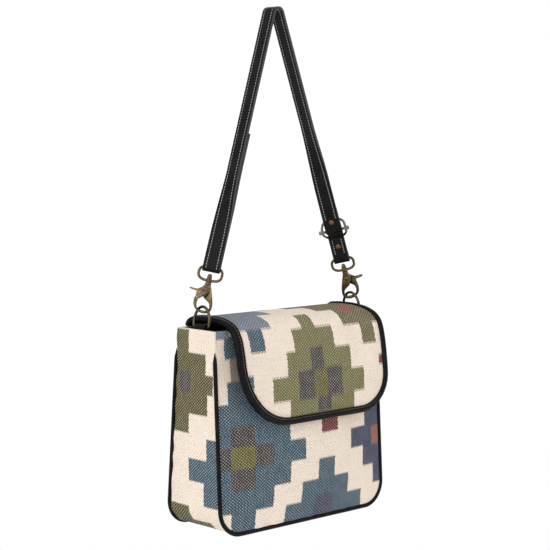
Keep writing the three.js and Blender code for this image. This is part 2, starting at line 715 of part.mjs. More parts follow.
function mainStrap() {
  const { left, right } = legs;
  const path = [];
  const layer = (strapThickness + skivedThickness) / 2 + strapClearance;
  const turnedStart = left.length - turnedBackLength;
  const outerAt = (along) => eyeFoldRadius * smooth(along, left.length - 60, left.length);
  const innerAt = (along) => mix(-layer, -eyeFoldRadius, smooth(along, left.length - 60, left.length));
  const thicknessAt = (leg, along) => mix(
    strapThickness, skivedThickness, smooth(along, leg.length - 40, leg.length - 10),
  );
  const spots = Array.from({ length: 15 }, (_, i) => mix(turnedStart, left.length, i / 15));
  spots.forEach((along) => path.push(onLeg(left, along, innerAt(along), skivedThickness)));
  path.push(...foldStations(left, left.length + eyeDroop, 0, eyeFoldRadius, skivedThickness, -1));
  [...spots].reverse().forEach((along) => path.push(onLeg(left, along, outerAt(along), thicknessAt(left, along))));
  [0.66, 0.33, 0].forEach((share) => path.push(onLeg(left, turnedStart * share, 0, strapThickness)));
  const sweepAngle = Math.PI - left.spread - right.spread;
  for (let i = 1; i < 10; i += 1) {
    const angle = Math.PI - left.spread - (sweepAngle * i) / 10;
    const point = foldCentre.clone().add(vector(Math.cos(angle), 0, Math.sin(angle)).multiplyScalar(foldRadius));
    path.push({ point, across: vector(0, -1, 0), thickness: strapThickness });
  }
  const bar = right.length - buckleAboveEye;
  const innerFold = -barBehindStrap - barFoldRadius;
  const innerOffset = (along) => innerFold * smooth(along, bar - 80, bar - turnedEndAboveBar - 2);
  const runEnd = bar - turnedEndAboveBar - 2;
  for (let i = 0; i <= 12; i += 1) {
    const along = mix(0, runEnd, i / 12);
    path.push(onLeg(right, along, innerOffset(along), strapThickness));
  }
  path.push(onLeg(right, bar - 12, innerFold, mix(strapThickness, barLoopThickness, 0.1)));
  path.push(onLeg(right, bar - 6, innerFold, mix(strapThickness, barLoopThickness, 0.6)));
  path.push(...foldStations(right, bar, -barBehindStrap, barFoldRadius, barLoopThickness, -1));
  const outerFold = -barBehindStrap + barFoldRadius;
  const closeOffset = innerFold + (strapThickness + barLoopThickness) / 2 + strapClearance;
  path.push(onLeg(right, bar - 4, mix(outerFold, closeOffset, 0.5), barLoopThickness));
  path.push(onLeg(right, bar - 7.5, closeOffset, barLoopThickness));
  path.push(onLeg(right, bar - turnedEndAboveBar, closeOffset, barLoopThickness));
  const slotTool = inBuckleFrame(new THREE.BoxGeometry(4.2, 8, 12).translate(0, 0.9, 0.6));
  return cut(band(path, strapWidth), slotTool, strapRivetHole(upperRivet));
}

function billetStrap() {
  const { right } = legs;
  const path = [];
  const bar = right.length - buckleAboveEye;
  const near = (billetThickness + strapClearance) / 2;
  const closing = (along) => smooth(along, right.length - 11, right.length - 2);
  const end = right.length - billetTurnedEnd;
  for (let i = 0; i <= 6; i += 1) {
    const along = mix(end, right.length, i / 7);
    path.push(onLeg(right, along, mix(-near, -billetFoldRadius, closing(along)), billetThickness));
  }
  path.push(...foldStations(right, right.length + eyeDroop, 0, billetFoldRadius, billetThickness, -1));
  for (let i = 6; i >= 2; i -= 1) {
    const along = mix(end, right.length, i / 7);
    path.push(onLeg(right, along, mix(near, billetFoldRadius, closing(along)), billetThickness));
  }
  const overLoop = -barBehindStrap + barFoldRadius + barLoopThickness / 2 + strapClearance + billetThickness / 2;
  const underRail = frameArch - barBehindStrap - frameWireThickness - strapClearance - billetThickness / 2;
  path.push(onLeg(right, bar + frameHalfHeight + 3, mix(near, underRail, 0.6), billetThickness));
  path.push(onLeg(right, bar + frameHalfHeight, underRail - 0.15, billetThickness));
  path.push(onLeg(right, bar + 5, mix(underRail, overLoop, 0.75), billetThickness));
  path.push(onLeg(right, bar, overLoop + 0.1, billetThickness));
  path.push(onLeg(right, bar - 5, mix(underRail, overLoop, 0.75), billetThickness));
  path.push(onLeg(right, bar - frameHalfHeight, underRail - 0.15, billetThickness));
  path.push(onLeg(right, bar - frameHalfHeight - 6, underRail - 0.3, billetThickness));
  path.push(onLeg(right, bar - billetTip, underRail - 0.6, billetThickness));
  const hole = inBuckleFrame(new THREE.BoxGeometry(3.2, 8, 8).translate(0, 5, -4.2));
  return cut(band(path, strapWidth - 1), hole, strapRivetHole(lowerRivet));
}

// Strap rivets: each frame is at the middle of the leather that it holds, +z out of the outer face

function rivetFrame(along, offset, half) {
  const { across, out, centre } = legFrame(legs.right, along);
  const basis = new THREE.Matrix4().makeBasis(across, out.clone().cross(across), out);
  return { matrix: basis.setPosition(centre.addScaledVector(out, offset)), half };
}

const upperRivet = rivetFrame(
  legs.right.length - buckleAboveEye - upperRivetAboveBar,
  -barBehindStrap - barFoldRadius + (barLoopThickness + strapClearance) / 2,
  (strapThickness + barLoopThickness + strapClearance) / 2 + strapClearance,
);
const lowerRivet = rivetFrame(
  legs.right.length - lowerRivetAboveEye, 0, billetThickness + strapClearance * 1.5,
);

function strapRivetHole({ matrix }) {
  return rod(strapRivetRadius + strapClearance, -8, 3.2).applyMatrix4(matrix);
}

function rivetCap({ half, matrix }) {
  const head = strapRivetHeadHeight;
  const radius = strapRivetHeadRadius;
  return turned([[0, -half - head], [radius * 0.55, -half - head * 0.85], [radius * 0.9, -half - head * 0.4],
    [radius, -half], [strapRivetRadius, -half], [strapRivetRadius, half - 0.1], [0, half - 0.1]])
    .applyMatrix4(matrix);
}

function rivetBase({ half, matrix }) {
  const head = strapRivetHeadHeight * 0.8;
  const radius = strapRivetHeadRadius;
  const bore = strapRivetRadius + strapClearance;
  return new THREE.LatheGeometry([[bore, half], [radius, half], [radius * 0.9, half + head * 0.5],
    [bore, half + head], [bore, half]].map(([r, z]) => new THREE.Vector2(r, z)), 16)
    .rotateX(Math.PI / 2).applyMatrix4(matrix);
}

// Buckle

const buckleFrame = legFrame(legs.right, legs.right.length - buckleAboveEye);
buckleFrame.centre.addScaledVector(buckleFrame.out, -barBehindStrap);
const buckleMatrix = new THREE.Matrix4()
  .makeBasis(buckleFrame.across, buckleFrame.out, buckleFrame.across.clone().cross(buckleFrame.out))
  .setPosition(buckleFrame.centre);

function inBuckleFrame(geometry) {
  return geometry.applyMatrix4(buckleMatrix);
}

function buckleRing() {
  const flatX = frameHalfWidth - frameCorner;
  const flatZ = frameHalfHeight - frameCorner;
  const quarter = (cx, cz, from) => arc(cx, cz, frameCorner, from, from + 90, 6);
  const path = [...quarter(flatX, flatZ, 0), ...quarter(-flatX, flatZ, 90),
    ...quarter(-flatX, -flatZ, 180), ...quarter(flatX, -flatZ, 270)];
  const turn = Math.PI / frameHalfHeight;
  const points = path.map(([x, z]) => vector(x, (frameArch / 2) * (1 - Math.cos(turn * z)), z));
  const normals = path.map(([, z]) => vector(0, 1, (-frameArch / 2) * turn * Math.sin(turn * z)).normalize());
  const wire = bentWire(points, (i) => normals[i], ovalOutline(frameWireWidth, frameWireThickness, 8), true);
  const boss = (from, to) => alongX(rod(2.4, from, to));
  const bore = alongX(rod(barRadius + strapClearance, -30, 30));
  const ring = join(wire, boss(-14.9, -12.3), boss(12.3, 14.9));
  return cut(ring, bore);
}

function buckleBar() {
  const neck = frameHalfWidth + frameWireWidth + strapClearance;
  const end = barHalfLength;
  return alongX(turned([[0, -end], [barKnobRadius * 0.7, -end], [barKnobRadius, -end + 0.7],
    [barKnobRadius, -neck], [barRadius, -neck], [barRadius, neck], [barKnobRadius, neck],
    [barKnobRadius, end - 0.7], [barKnobRadius * 0.7, end], [0, end]]));
}

function buckleProng() {
  const half = 1.6;
  const eye = alongX(rod(barRadius + strapClearance + 1.1, -half, half));
  const top = frameArch + frameWireThickness + strapClearance + prongRadius;
  const path = [[2.0, -0.9], [4.6, -1.9], [7.4, -4.0], [top - 0.5, -7.0], [top + 0.1, -10.4], [top - 0.2, -12.8]];
  const points = smoothLine(path, 10).map(([y, z]) => vector(0, y, z));
  const pin = bentWire(points, () => vector(1, 0, 0), ovalOutline(prongRadius, prongRadius, 8));
  const bore = alongX(rod(barRadius + strapClearance, -5, 5));
  return cut(join(eye, pin), bore);
}

// Assembly

const bag = new THREE.Group();
bag.position.set(-foldCentre.x, 0, -(strapTop - strapThickness));

bag.add(mesh('front_panel', panel(-1), cloth));
bag.add(mesh('back_panel', panel(1), cloth));
bag.add(mesh('gusset', gusset(), cloth));
bag.add(mesh('lining', lining(), blackCloth));
bag.add(mesh('front_piping', piping(-1), blackLeather));
bag.add(mesh('back_piping', piping(1), blackLeather));
bag.add(mesh('flap_panel', flapLayer(bindingRoom, bindingFace - clothThickness, bindingFace), cloth));
bag.add(mesh('flap_lining', flapLayer(bindingRoom, -bindingFace, -bindingFace + flapLiningThickness), blackCloth));
bag.add(mesh('flap_binding', flapBinding(), blackLeather));
bag.add(mesh('flap_magnet', magnet(-1), steel));
bag.add(mesh('panel_magnet', magnet(1), steel));

const lean = Math.asin(ringReachIn / ringRise);
const names = { left: -1, right: 1 };

Object.entries(names).forEach(([name, side]) => {
  bag.add(mesh(`tab_${name}`, tab(side), blackLeather));
  const ring = mesh(`d_ring_${name}`, dRing(), antiqueBrass);
  ring.position.set(side * ringBar.x, 0, ringBar.z);
  ring.rotation.y = -side * lean;
  bag.add(ring);

  const leg = legs[name];
  const { across, centre } = legFrame(leg, leg.length);
  const up = leg.down.clone().negate();
  const eyeFrame = new THREE.Group();
  eyeFrame.name = `${name}_eye_axes`;
  const place = new THREE.Matrix4().makeBasis(across, up.clone().cross(across), up);
  place.setPosition(centre.addScaledVector(leg.down, eyeTop));
  eyeFrame.applyMatrix4(place);
  eyeFrame.add(mesh(`eye_${name}`, hookEye(), antiqueBrass));

  const clawFrame = new THREE.Group();
  clawFrame.name = `${name}_claw_axes`;
  const facing = vector(side * Math.cos(radians(hookYaw)), -side * Math.sin(radians(hookYaw)), 0);
  const inEye = facing.applyMatrix4(new THREE.Matrix4().extractRotation(place).transpose());
  clawFrame.rotation.z = Math.atan2(inEye.y, inEye.x);
  clawFrame.add(mesh(`swivel_post_${name}`, swivelPost(), antiqueBrass));
  clawFrame.add(mesh(`claw_${name}`, claw(), antiqueBrass));
  clawFrame.add(mesh(`gate_${name}`, gate(), antiqueBrass));
  clawFrame.add(mesh(`pivot_rivet_${name}`, pivotRivet(), antiqueBrass));
  clawFrame.add(mesh(`gate_spring_${name}`, gateSpring(), steel));
  eyeFrame.add(clawFrame);
  bag.add(eyeFrame);
});

bag.add(mesh('strap_main', mainStrap(), blackLeather));
bag.add(mesh('strap_billet', billetStrap(), blackLeather));
const buckle = new THREE.Group();
buckle.name = 'buckle_axes';
buckle.applyMatrix4(buckleMatrix);
buckle.add(mesh('buckle_frame', buckleRing(), antiqueBrass));
buckle.add(mesh('buckle_bar', buckleBar(), antiqueBrass));
buckle.add(mesh('buckle_prong', buckleProng(), antiqueBrass));
bag.add(buckle);
bag.add(mesh('upper_rivet_cap', rivetCap(upperRivet), copperBrown));
bag.add(mesh('upper_rivet_base', rivetBase(upperRivet), copperBrown));
bag.add(mesh('lower_rivet_cap', rivetCap(lowerRivet), copperBrown));
bag.add(mesh('lower_rivet_base', rivetBase(lowerRivet), copperBrown));

const shoulderBag = new THREE.Group();
shoulderBag.add(bag);

export default shoulderBag;
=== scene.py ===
"""Shoulder bag of flat-woven cloth with a leather-bound flap, hung by its strap."""

import math

import bpy
from bpy.props import FloatProperty, FloatVectorProperty, PointerProperty
from mathutils import Matrix, Quaternion, Vector, noise


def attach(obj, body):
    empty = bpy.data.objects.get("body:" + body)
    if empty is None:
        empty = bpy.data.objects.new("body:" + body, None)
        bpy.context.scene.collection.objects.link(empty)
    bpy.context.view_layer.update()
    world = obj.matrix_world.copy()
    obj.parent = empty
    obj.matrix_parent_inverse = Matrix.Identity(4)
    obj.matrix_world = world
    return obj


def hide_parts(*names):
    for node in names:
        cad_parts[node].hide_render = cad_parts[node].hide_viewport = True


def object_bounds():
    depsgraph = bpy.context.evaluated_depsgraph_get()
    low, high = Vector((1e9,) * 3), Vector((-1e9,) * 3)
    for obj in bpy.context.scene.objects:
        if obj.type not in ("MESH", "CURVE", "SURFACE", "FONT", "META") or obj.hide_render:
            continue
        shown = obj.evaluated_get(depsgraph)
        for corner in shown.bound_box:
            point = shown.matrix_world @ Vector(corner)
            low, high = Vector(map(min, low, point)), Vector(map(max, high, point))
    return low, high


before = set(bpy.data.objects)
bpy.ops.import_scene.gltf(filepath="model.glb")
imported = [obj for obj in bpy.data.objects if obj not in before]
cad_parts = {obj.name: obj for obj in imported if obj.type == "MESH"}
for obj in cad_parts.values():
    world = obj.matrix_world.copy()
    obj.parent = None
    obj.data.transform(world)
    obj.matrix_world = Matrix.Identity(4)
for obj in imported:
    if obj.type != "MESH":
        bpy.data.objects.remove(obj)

bl_info = {
    "name": "Woven Shoulder Bag",
    "version": (1, 0, 0),
    "blender": (4, 5, 0),
    "location": "View3D > Sidebar > Bag",
    "description": "Builds a flat-woven shoulder bag round its packed frame",
    "category": "Add Mesh",
}

CAD_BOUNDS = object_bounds()

# Sizes of the bag in millimetres, on its own base: z = 0 is the gusset's flat bottom
BAG_HEIGHT = 218.0
HALF_WIDTH = 123.5
CORNER = 28.0
CLOTH = 2.4
SEAM = 0.3
FRONT_BULGE = 11.0
BACK_BULGE = 7.0
PIPING_DROP = 22.0
PIPING_RADIUS = 2.3
STRAP_TOP = 566.0
FLAP_CORNERS = {"left": (108.0, 74.0), "right": (118.0, 42.0)}
FLAP_LINE = [
    (29.0, 218.7), (28.2, 221.8), (23.5, 225.2), (13.0, 227.0), (0.0, 227.4), (-14.0, 227.0), (-28.0, 224.6),
    (-38.2, 218.6), (-44.8, 208.0), (-48.4, 195.0), (-51.2, 178.0), (-53.4, 156.0), (-54.0, 136.0), (-53.2, 112.0),
]


def metres(x, y, z):
    """A point on the bag's base frame, in metres of the part's frame."""
    return Vector(((x + 10.0) / 1000.0, y / 1000.0, (z - 562.8) / 1000.0))


def mix(a, b, share):
    return a + (b - a) * share


def ease(value, low, high):
    share = min(max((value - low) / (high - low), 0.0), 1.0)
    return share * share * (3.0 - 2.0 * share)


def ripple(x, y, seed, size):
    """Smooth unevenness between -1 and 1, about one swell in each size."""
    return noise.noise(Vector((x / size, y / size, seed)))


# Settings


class KilimSettings(bpy.types.PropertyGroup):
    """Cloth of the bag."""

    cream: FloatVectorProperty(
        name="Cream", description="Ground of the cloth", subtype="COLOR", size=3, default=(0.880, 0.758, 0.642))
    blue: FloatVectorProperty(
        name="Blue", description="Large medallions", subtype="COLOR", size=3, default=(0.038, 0.098, 0.150))
    olive: FloatVectorProperty(
        name="Olive", description="Medallions of the flap", subtype="COLOR", size=3, default=(0.188, 0.178, 0.058))
    grey: FloatVectorProperty(
        name="Purple grey", description="Crosses inside the medallions", subtype="COLOR", size=3,
        default=(0.052, 0.046, 0.050))
    mustard: FloatVectorProperty(
        name="Mustard", description="Middle of a cross", subtype="COLOR", size=3, default=(0.135, 0.120, 0.016))
    navy: FloatVectorProperty(
        name="Navy", description="Dark medallions", subtype="COLOR", size=3, default=(0.020, 0.036, 0.108))
    crimson: FloatVectorProperty(
        name="Crimson", description="Single red cells", subtype="COLOR", size=3, default=(0.190, 0.006, 0.014))
    rust: FloatVectorProperty(
        name="Rust", description="Middle of the navy medallion", subtype="COLOR", size=3,
        default=(0.330, 0.100, 0.070))
    warp_pitch: FloatProperty(
        name="Warp pitch", description="Across, from one warp to the next", unit="LENGTH", default=0.0021)
    weft_pitch: FloatProperty(
        name="Weft pitch", description="Up, from one row of weft to the next", unit="LENGTH", default=0.0017)
    tooth: FloatProperty(
        name="Tooth", description="Height of the comb on a level edge of the pattern", unit="LENGTH", default=0.0015)
    pucker: FloatProperty(
        name="Pucker", description="Unevenness of the cloth beside a seam", unit="LENGTH", default=0.0007)


class LeatherSettings(bpy.types.PropertyGroup):
    """Leather of the binding, piping, tabs and strap."""

    black: FloatVectorProperty(
        name="Black", description="Leather", subtype="COLOR", size=3, default=(0.0035, 0.0032, 0.0036))
    edge: FloatVectorProperty(
        name="Edge paint", description="Cut edges of the strap", subtype="COLOR", size=3,
        default=(0.028, 0.028, 0.032))
    grain: FloatProperty(name="Grain", description="Size of the grain", unit="LENGTH", default=0.0007)
    bead: FloatProperty(name="Bead", description="Radius of the binding's inner bead", unit="LENGTH", default=0.0011)


class StitchSettings(bpy.types.PropertyGroup):
    """Thread of the strap and the binding."""

    thread: FloatVectorProperty(
        name="Thread", description="Strap's thread", subtype="COLOR", size=3, default=(0.520, 0.500, 0.450))
    dark: FloatVectorProperty(
        name="Dark thread", description="Binding's thread", subtype="COLOR", size=3, default=(0.260, 0.245, 0.220))
    pitch: FloatProperty(name="Pitch", description="From one stitch to the next", unit="LENGTH", default=0.0031)
    length: FloatProperty(name="Length", description="Visible length of a stitch", unit="LENGTH", default=0.0023)
    radius: FloatProperty(name="Radius", description="Half the thread's thickness", unit="LENGTH", default=0.00032)
    inset: FloatProperty(name="Inset", description="Strap's edge to the stitches", unit="LENGTH", default=0.0037)


class MetalSettings(bpy.types.PropertyGroup):
    """Hooks, rings, buckle and rivets."""

    brass: FloatVectorProperty(
        name="Brass", description="Rubbed faces of the hooks", subtype="COLOR", size=3, default=(0.215, 0.160, 0.088))
    patina: FloatVectorProperty(
        name="Patina", description="Hollows of the hooks", subtype="COLOR", size=3, default=(0.012, 0.009, 0.006))
    silver: FloatVectorProperty(
        name="Silver", description="Buckle", subtype="COLOR", size=3, default=(0.370, 0.340, 0.285))
    copper: FloatVectorProperty(
        name="Copper", description="Strap's rivets", subtype="COLOR", size=3, default=(0.300, 0.165, 0.095))
    rounding: FloatProperty(
        name="Rounding", description="Radius of the worn edges", unit="LENGTH", default=0.0002)


class StageSettings(bpy.types.PropertyGroup):
    """Floor, light and camera."""

    floor: FloatVectorProperty(
        name="Floor", description="Pale floor", subtype="COLOR", size=3, default=(0.92, 0.92, 0.92))
    drop: FloatProperty(name="Drop", description="Floor below the bag", unit="LENGTH", default=0.45)
    sky: FloatProperty(name="Surround", description="Strength of the even light", default=0.55)
    soft: FloatProperty(name="Soft box", description="Strength of the overhead light", default=2.0)
    key: FloatProperty(name="Key", description="Power of the large side light", unit="POWER", default=10.0)
    fill: FloatProperty(name="Fill", description="Power of the front light", unit="POWER", default=7.0)


# Making and finishing meshes


def pick(obj):
    """Selects one object and makes it active."""
    bpy.ops.object.select_all(action="DESELECT")
    obj.select_set(True)
    bpy.context.view_layer.objects.active = obj


def stood(name, data):
    """A new object in the scene."""
    obj = bpy.data.objects.new(name, data)
    bpy.context.collection.objects.link(obj)
    return obj


def finish_modifiers(obj):
    pick(obj)
    for modifier in list(obj.modifiers):
        bpy.ops.object.modifier_apply(modifier=modifier.name)


def settle(obj):
    """Leaves the object at the origin, unturned and unscaled."""
    pick(obj)
    bpy.ops.object.transform_apply(location=True, rotation=True, scale=True)


def smooth(obj, degrees):
    pick(obj)
    bpy.ops.object.shade_smooth_by_angle(angle=math.radians(degrees))


def fuse(obj, distance=1e-5):
    """Merges doubled points and turns the faces outwards."""
    pick(obj)
    bpy.ops.object.mode_set(mode="EDIT")
    bpy.ops.mesh.select_all(action="SELECT")
    bpy.ops.mesh.remove_doubles(threshold=distance)
    bpy.ops.mesh.normals_make_consistent(inside=False)
    bpy.ops.object.mode_set(mode="OBJECT")


def close_ends(obj):
    """Fills every open rim."""
    pick(obj)
    bpy.ops.object.mode_set(mode="EDIT")
    bpy.ops.mesh.select_all(action="DESELECT")
    bpy.ops.mesh.select_non_manifold(extend=False, use_wire=False, use_multi_face=False, use_non_contiguous=False)
    bpy.ops.mesh.fill()
    bpy.ops.mesh.select_all(action="SELECT")
    bpy.ops.mesh.normals_make_consistent(inside=False)
    bpy.ops.object.mode_set(mode="OBJECT")


def laid_grid(name, columns, rows, place, flat=None):
    """A grid whose points are laid by their share across and up, with its flat pattern as UV map."""
    bpy.ops.object.select_all(action="DESELECT")
    bpy.ops.mesh.primitive_grid_add(x_subdivisions=columns, y_subdivisions=rows, size=1.0, location=(0, 0, 0))
    obj = bpy.context.active_object
    obj.name = name
    mesh = obj.data
    mesh.name = name
    shares = [(vertex.co.x + 0.5, vertex.co.y + 0.5) for vertex in mesh.vertices]
    for vertex, (u, v) in zip(mesh.vertices, shares):
        vertex.co = place(u, v)
    if flat:
        layer = mesh.uv_layers.active or mesh.uv_layers.new(name="UVMap")
        for loop in mesh.loops:
            layer.data[loop.index].uv = flat(*shares[loop.vertex_index])
    mesh.update()
    return obj


def thicken(obj, thickness):
    modifier = obj.modifiers.new("Thickness", "SOLIDIFY")
    modifier.thickness = thickness
    modifier.offset = -1.0
    finish_modifiers(obj)


def round_edges(obj, width):
    modifier = obj.modifiers.new("Rounding", "BEVEL")
    modifier.width = width
    modifier.segments = 2
    modifier.limit_method = "ANGLE"
    modifier.angle_limit = math.radians(32.0)
    modifier.use_clamp_overlap = True
    finish_modifiers(obj)


def wire_through(name, points, radius, closed, sides, radii=None):
    """A round wire or cord through points, made from a curve."""
    curve = bpy.data.curves.new(name, "CURVE")
    curve.dimensions = "3D"
    curve.bevel_depth = radius
    curve.bevel_resolution = sides
    curve.use_fill_caps = not closed
    spline = curve.splines.new("POLY")
    spline.points.add(len(points) - 1)
    for index, point in enumerate(points):
        spline.points[index].co = (*point, 1.0)
        spline.points[index].radius = radii[index] if radii else 1.0
    spline.use_cyclic_u = closed
    pick(stood(name, curve))
    bpy.ops.object.convert(target="MESH")
    made = bpy.context.active_object
    made.name = name
    made.data.name = name
    fuse(made)
    smooth(made, 60.0)
    return made


def rows_of(name, template, places):
    """Many copies of one small shape, joined as one piece."""
    bpy.ops.object.select_all(action="DESELECT")
    for matrix in places:
        copy = template.copy()
        copy.data = template.data.copy()
        copy.data.transform(matrix)
        bpy.context.collection.objects.link(copy)
        copy.select_set(True)
    bpy.context.view_layer.objects.active = copy
    bpy.ops.object.join()
    copy.name = name
    copy.data.name = name
    smooth(copy, 80.0)
    return copy


def sheet_from(name, columns, rows, thickness, material, place, flat=None):
    """Cloth laid as a grid, given its thickness in millimetres and its material."""
    piece = laid_grid(name, columns, rows, place, flat)
    thicken(piece, thickness / 1000.0)
    smooth(piece, 50.0)
    paint(piece, material)
    return piece


def tube_from(name, columns, sides, degrees, place, flat=None):
    """A closed outline run along a route, with filled ends."""
    piece = laid_grid(name, columns, sides, place, flat)
    fuse(piece, 2e-6)
    close_ends(piece)
    smooth(piece, degrees)
    return piece


def stitch_shape(length, radius):
    """One stitch lying along X, sunk at both ends."""
    bpy.ops.object.select_all(action="DESELECT")
    bpy.ops.mesh.primitive_uv_sphere_add(segments=8, ring_count=6, radius=1.0)
    shape = bpy.context.active_object
    for vertex in shape.data.vertices:
        x, y, z = vertex.co.z, vertex.co.x, vertex.co.y
        along = math.copysign(abs(x) ** 0.7, x)
        vertex.co = (along * length / 2, y * radius, z * radius * 0.8 - radius * 0.55 * along * along)
    fuse(shape)
    return shape


def stitch_place(spot, along, up):
    """Where a stitch lies: its middle, its run and the way it faces."""
    return Matrix.Translation(spot) @ Matrix((along, up.cross(along), up)).transposed().to_4x4()


def drop_object(obj):
    mesh = obj.data
    bpy.data.objects.remove(obj)
    bpy.data.meshes.remove(mesh)


def paint(obj, material, *more):
    obj.data.materials.clear()
    for each in (material, *more):
        obj.data.materials.append(each)


def hang(obj, body, slot, *nodes):
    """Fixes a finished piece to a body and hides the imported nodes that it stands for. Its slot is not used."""
    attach(obj, body)
    if nodes:
        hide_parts(*nodes)


# Materials


class Graph:
    """Short names for the nodes of a material, a group or the world."""

    def __init__(self, node_tree):
        self.nodes = node_tree.nodes
        self.links = node_tree.links

    def set(self, socket, value):
        if isinstance(value, bpy.types.NodeSocket):
            self.links.new(value, socket)
        elif isinstance(value, (tuple, list)) and len(value) == 3 and socket.type == "RGBA":
            socket.default_value = (*value, 1.0)
        else:
            socket.default_value = value

    def math(self, operation, a, b=0.0, c=None):
        node = self.nodes.new("ShaderNodeMath")
        node.operation = operation
        self.set(node.inputs[0], a)
        self.set(node.inputs[1], b)
        if c is not None:
            self.set(node.inputs[2], c)
        return node.outputs[0]

    def dot(self, a, b):
        node = self.nodes.new("ShaderNodeVectorMath")
        node.operation = "DOT_PRODUCT"
        self.set(node.inputs[0], a)
        self.set(node.inputs[1], b)
        return node.outputs["Value"]

    def blend(self, share, a, b, mode="MIX"):
        node = self.nodes.new("ShaderNodeMix")
        node.data_type = "RGBA"
        node.blend_type = mode
        self.set(node.inputs[0], share)
        self.set(node.inputs[6], a)
        self.set(node.inputs[7], b)
        return node.outputs[2]

    def coordinates(self, kind):
        return self.nodes.new("ShaderNodeTexCoord").outputs[kind]

    def stretch(self, where, scale):
        mapping = self.nodes.new("ShaderNodeMapping")
        self.links.new(where, mapping.inputs["Vector"])
        mapping.inputs["Scale"].default_value = scale
        return mapping.outputs["Vector"]

    def place(self, *scale):
        """The object's own coordinates, times one scale or one for each axis."""
        return self.stretch(self.coordinates("Object"), scale if len(scale) == 3 else scale * 3)

    def split(self, vector):
        node = self.nodes.new("ShaderNodeSeparateXYZ")
        self.links.new(vector, node.inputs[0])
        return node.outputs

    def join(self, *values):
        node = self.nodes.new("ShaderNodeCombineXYZ")
        for index, value in enumerate(values):
            self.set(node.inputs[index], value)
        return node.outputs[0]

    def chance(self, value):
        """One random number for each whole value."""
        node = self.nodes.new("ShaderNodeTexWhiteNoise")
        node.noise_dimensions = "1D"
        self.set(node.inputs["W"], self.math("FLOOR", value))
        return node.outputs["Value"]

    def fleck(self, where, detail, rough):
        node = self.nodes.new("ShaderNodeTexNoise")
        self.set(node.inputs["Vector"], where)
        node.inputs["Scale"].default_value = 1.0
        node.inputs["Detail"].default_value = detail
        node.inputs["Roughness"].default_value = rough
        return node.outputs["Fac"]

    def cells(self, where):
        node = self.nodes.new("ShaderNodeTexVoronoi")
        node.feature = "SMOOTH_F1"
        self.set(node.inputs["Vector"], where)
        node.inputs["Scale"].default_value = 1.0
        return node.outputs["Distance"]

    def hollow(self, distance):
        node = self.nodes.new("ShaderNodeAmbientOcclusion")
        node.samples = 8
        node.inputs["Distance"].default_value = distance
        return node.outputs["AO"]

    def span(self, value, low, high, to_low=0.0, to_high=1.0):
        node = self.nodes.new("ShaderNodeMapRange")
        node.interpolation_type = "SMOOTHSTEP"
        for index, each in enumerate((value, low, high, to_low, to_high)):
            self.set(node.inputs[index], each)
        return node.outputs[0]

    def edges(self, reach):
        """Nearly 1 on flat ground and less towards an edge."""
        rounded = self.nodes.new("ShaderNodeBevel")
        rounded.samples = 6
        rounded.inputs["Radius"].default_value = reach
        return self.dot(rounded.outputs["Normal"], self.nodes.new("ShaderNodeNewGeometry").outputs["Normal"])


class Tree(Graph):
    """The nodes of one material, with its shader."""

    def __init__(self, name):
        self.material = bpy.data.materials.get(name) or bpy.data.materials.new(name)
        self.material.use_nodes = True
        super().__init__(self.material.node_tree)
        self.nodes.clear()
        out = self.nodes.new("ShaderNodeOutputMaterial")
        self.shader = self.nodes.new("ShaderNodeBsdfPrincipled")
        self.links.new(self.shader.outputs["BSDF"], out.inputs["Surface"])

    def shade(self, **values):
        for key, value in values.items():
            self.set(self.shader.inputs[key.replace("_", " ")], value)

    def raise_surface(self, height, distance, strength):
        node = self.nodes.new("ShaderNodeBump")
        node.inputs["Distance"].default_value = distance
        node.inputs["Strength"].default_value = strength
        self.set(node.inputs["Height"], height)
        self.set(self.shader.inputs["Normal"], node.outputs["Normal"])


def field_group():
    """One rectangle of the pattern: 1 inside it and 0 outside."""
    group = bpy.data.node_groups.get("Woven field")
    if group:
        return group
    group = bpy.data.node_groups.new("Woven field", "ShaderNodeTree")
    for label in ("Across", "Up", "Left", "Right", "Bottom", "Top"):
        group.interface.new_socket(label, in_out="INPUT", socket_type="NodeSocketFloat")
    group.interface.new_socket("Inside", in_out="OUTPUT", socket_type="NodeSocketFloat")
    graph = Graph(group)
    across, up, left, right, bottom, top = graph.nodes.new("NodeGroupInput").outputs[:6]

    def between(value, low, high):
        return graph.math("MULTIPLY", graph.math("GREATER_THAN", value, low), graph.math("LESS_THAN", value, high))

    inside = graph.math("MULTIPLY", between(across, left, right), between(up, bottom, top))
    graph.set(graph.nodes.new("NodeGroupOutput").inputs[0], inside)
    return group


def stepped(colour, x, z, unit, halves, cross=None, heart=None, wide=15.5, arm=25.0):
    """Fields of one stepped medallion: rows of growing and shrinking width, a cross and its middle."""
    last = len(halves) - 1
    fields = []
    for row in range(-last, last + 1):
        half = halves[abs(row)]
        fields.append((colour, x - half, x + half, z + (row - 0.5) * unit, z + (row + 0.5) * unit))
    if cross:
        fields.append((cross, x - wide, x + wide, z - 1.5 * unit, z + 1.5 * unit))
        fields.append((cross, x - wide - arm, x + wide + arm, z - 0.5 * unit, z + 0.5 * unit))
    if heart:
        fields.append((heart, x - wide, x + wide, z - 0.5 * unit, z + 0.5 * unit))
    return fields


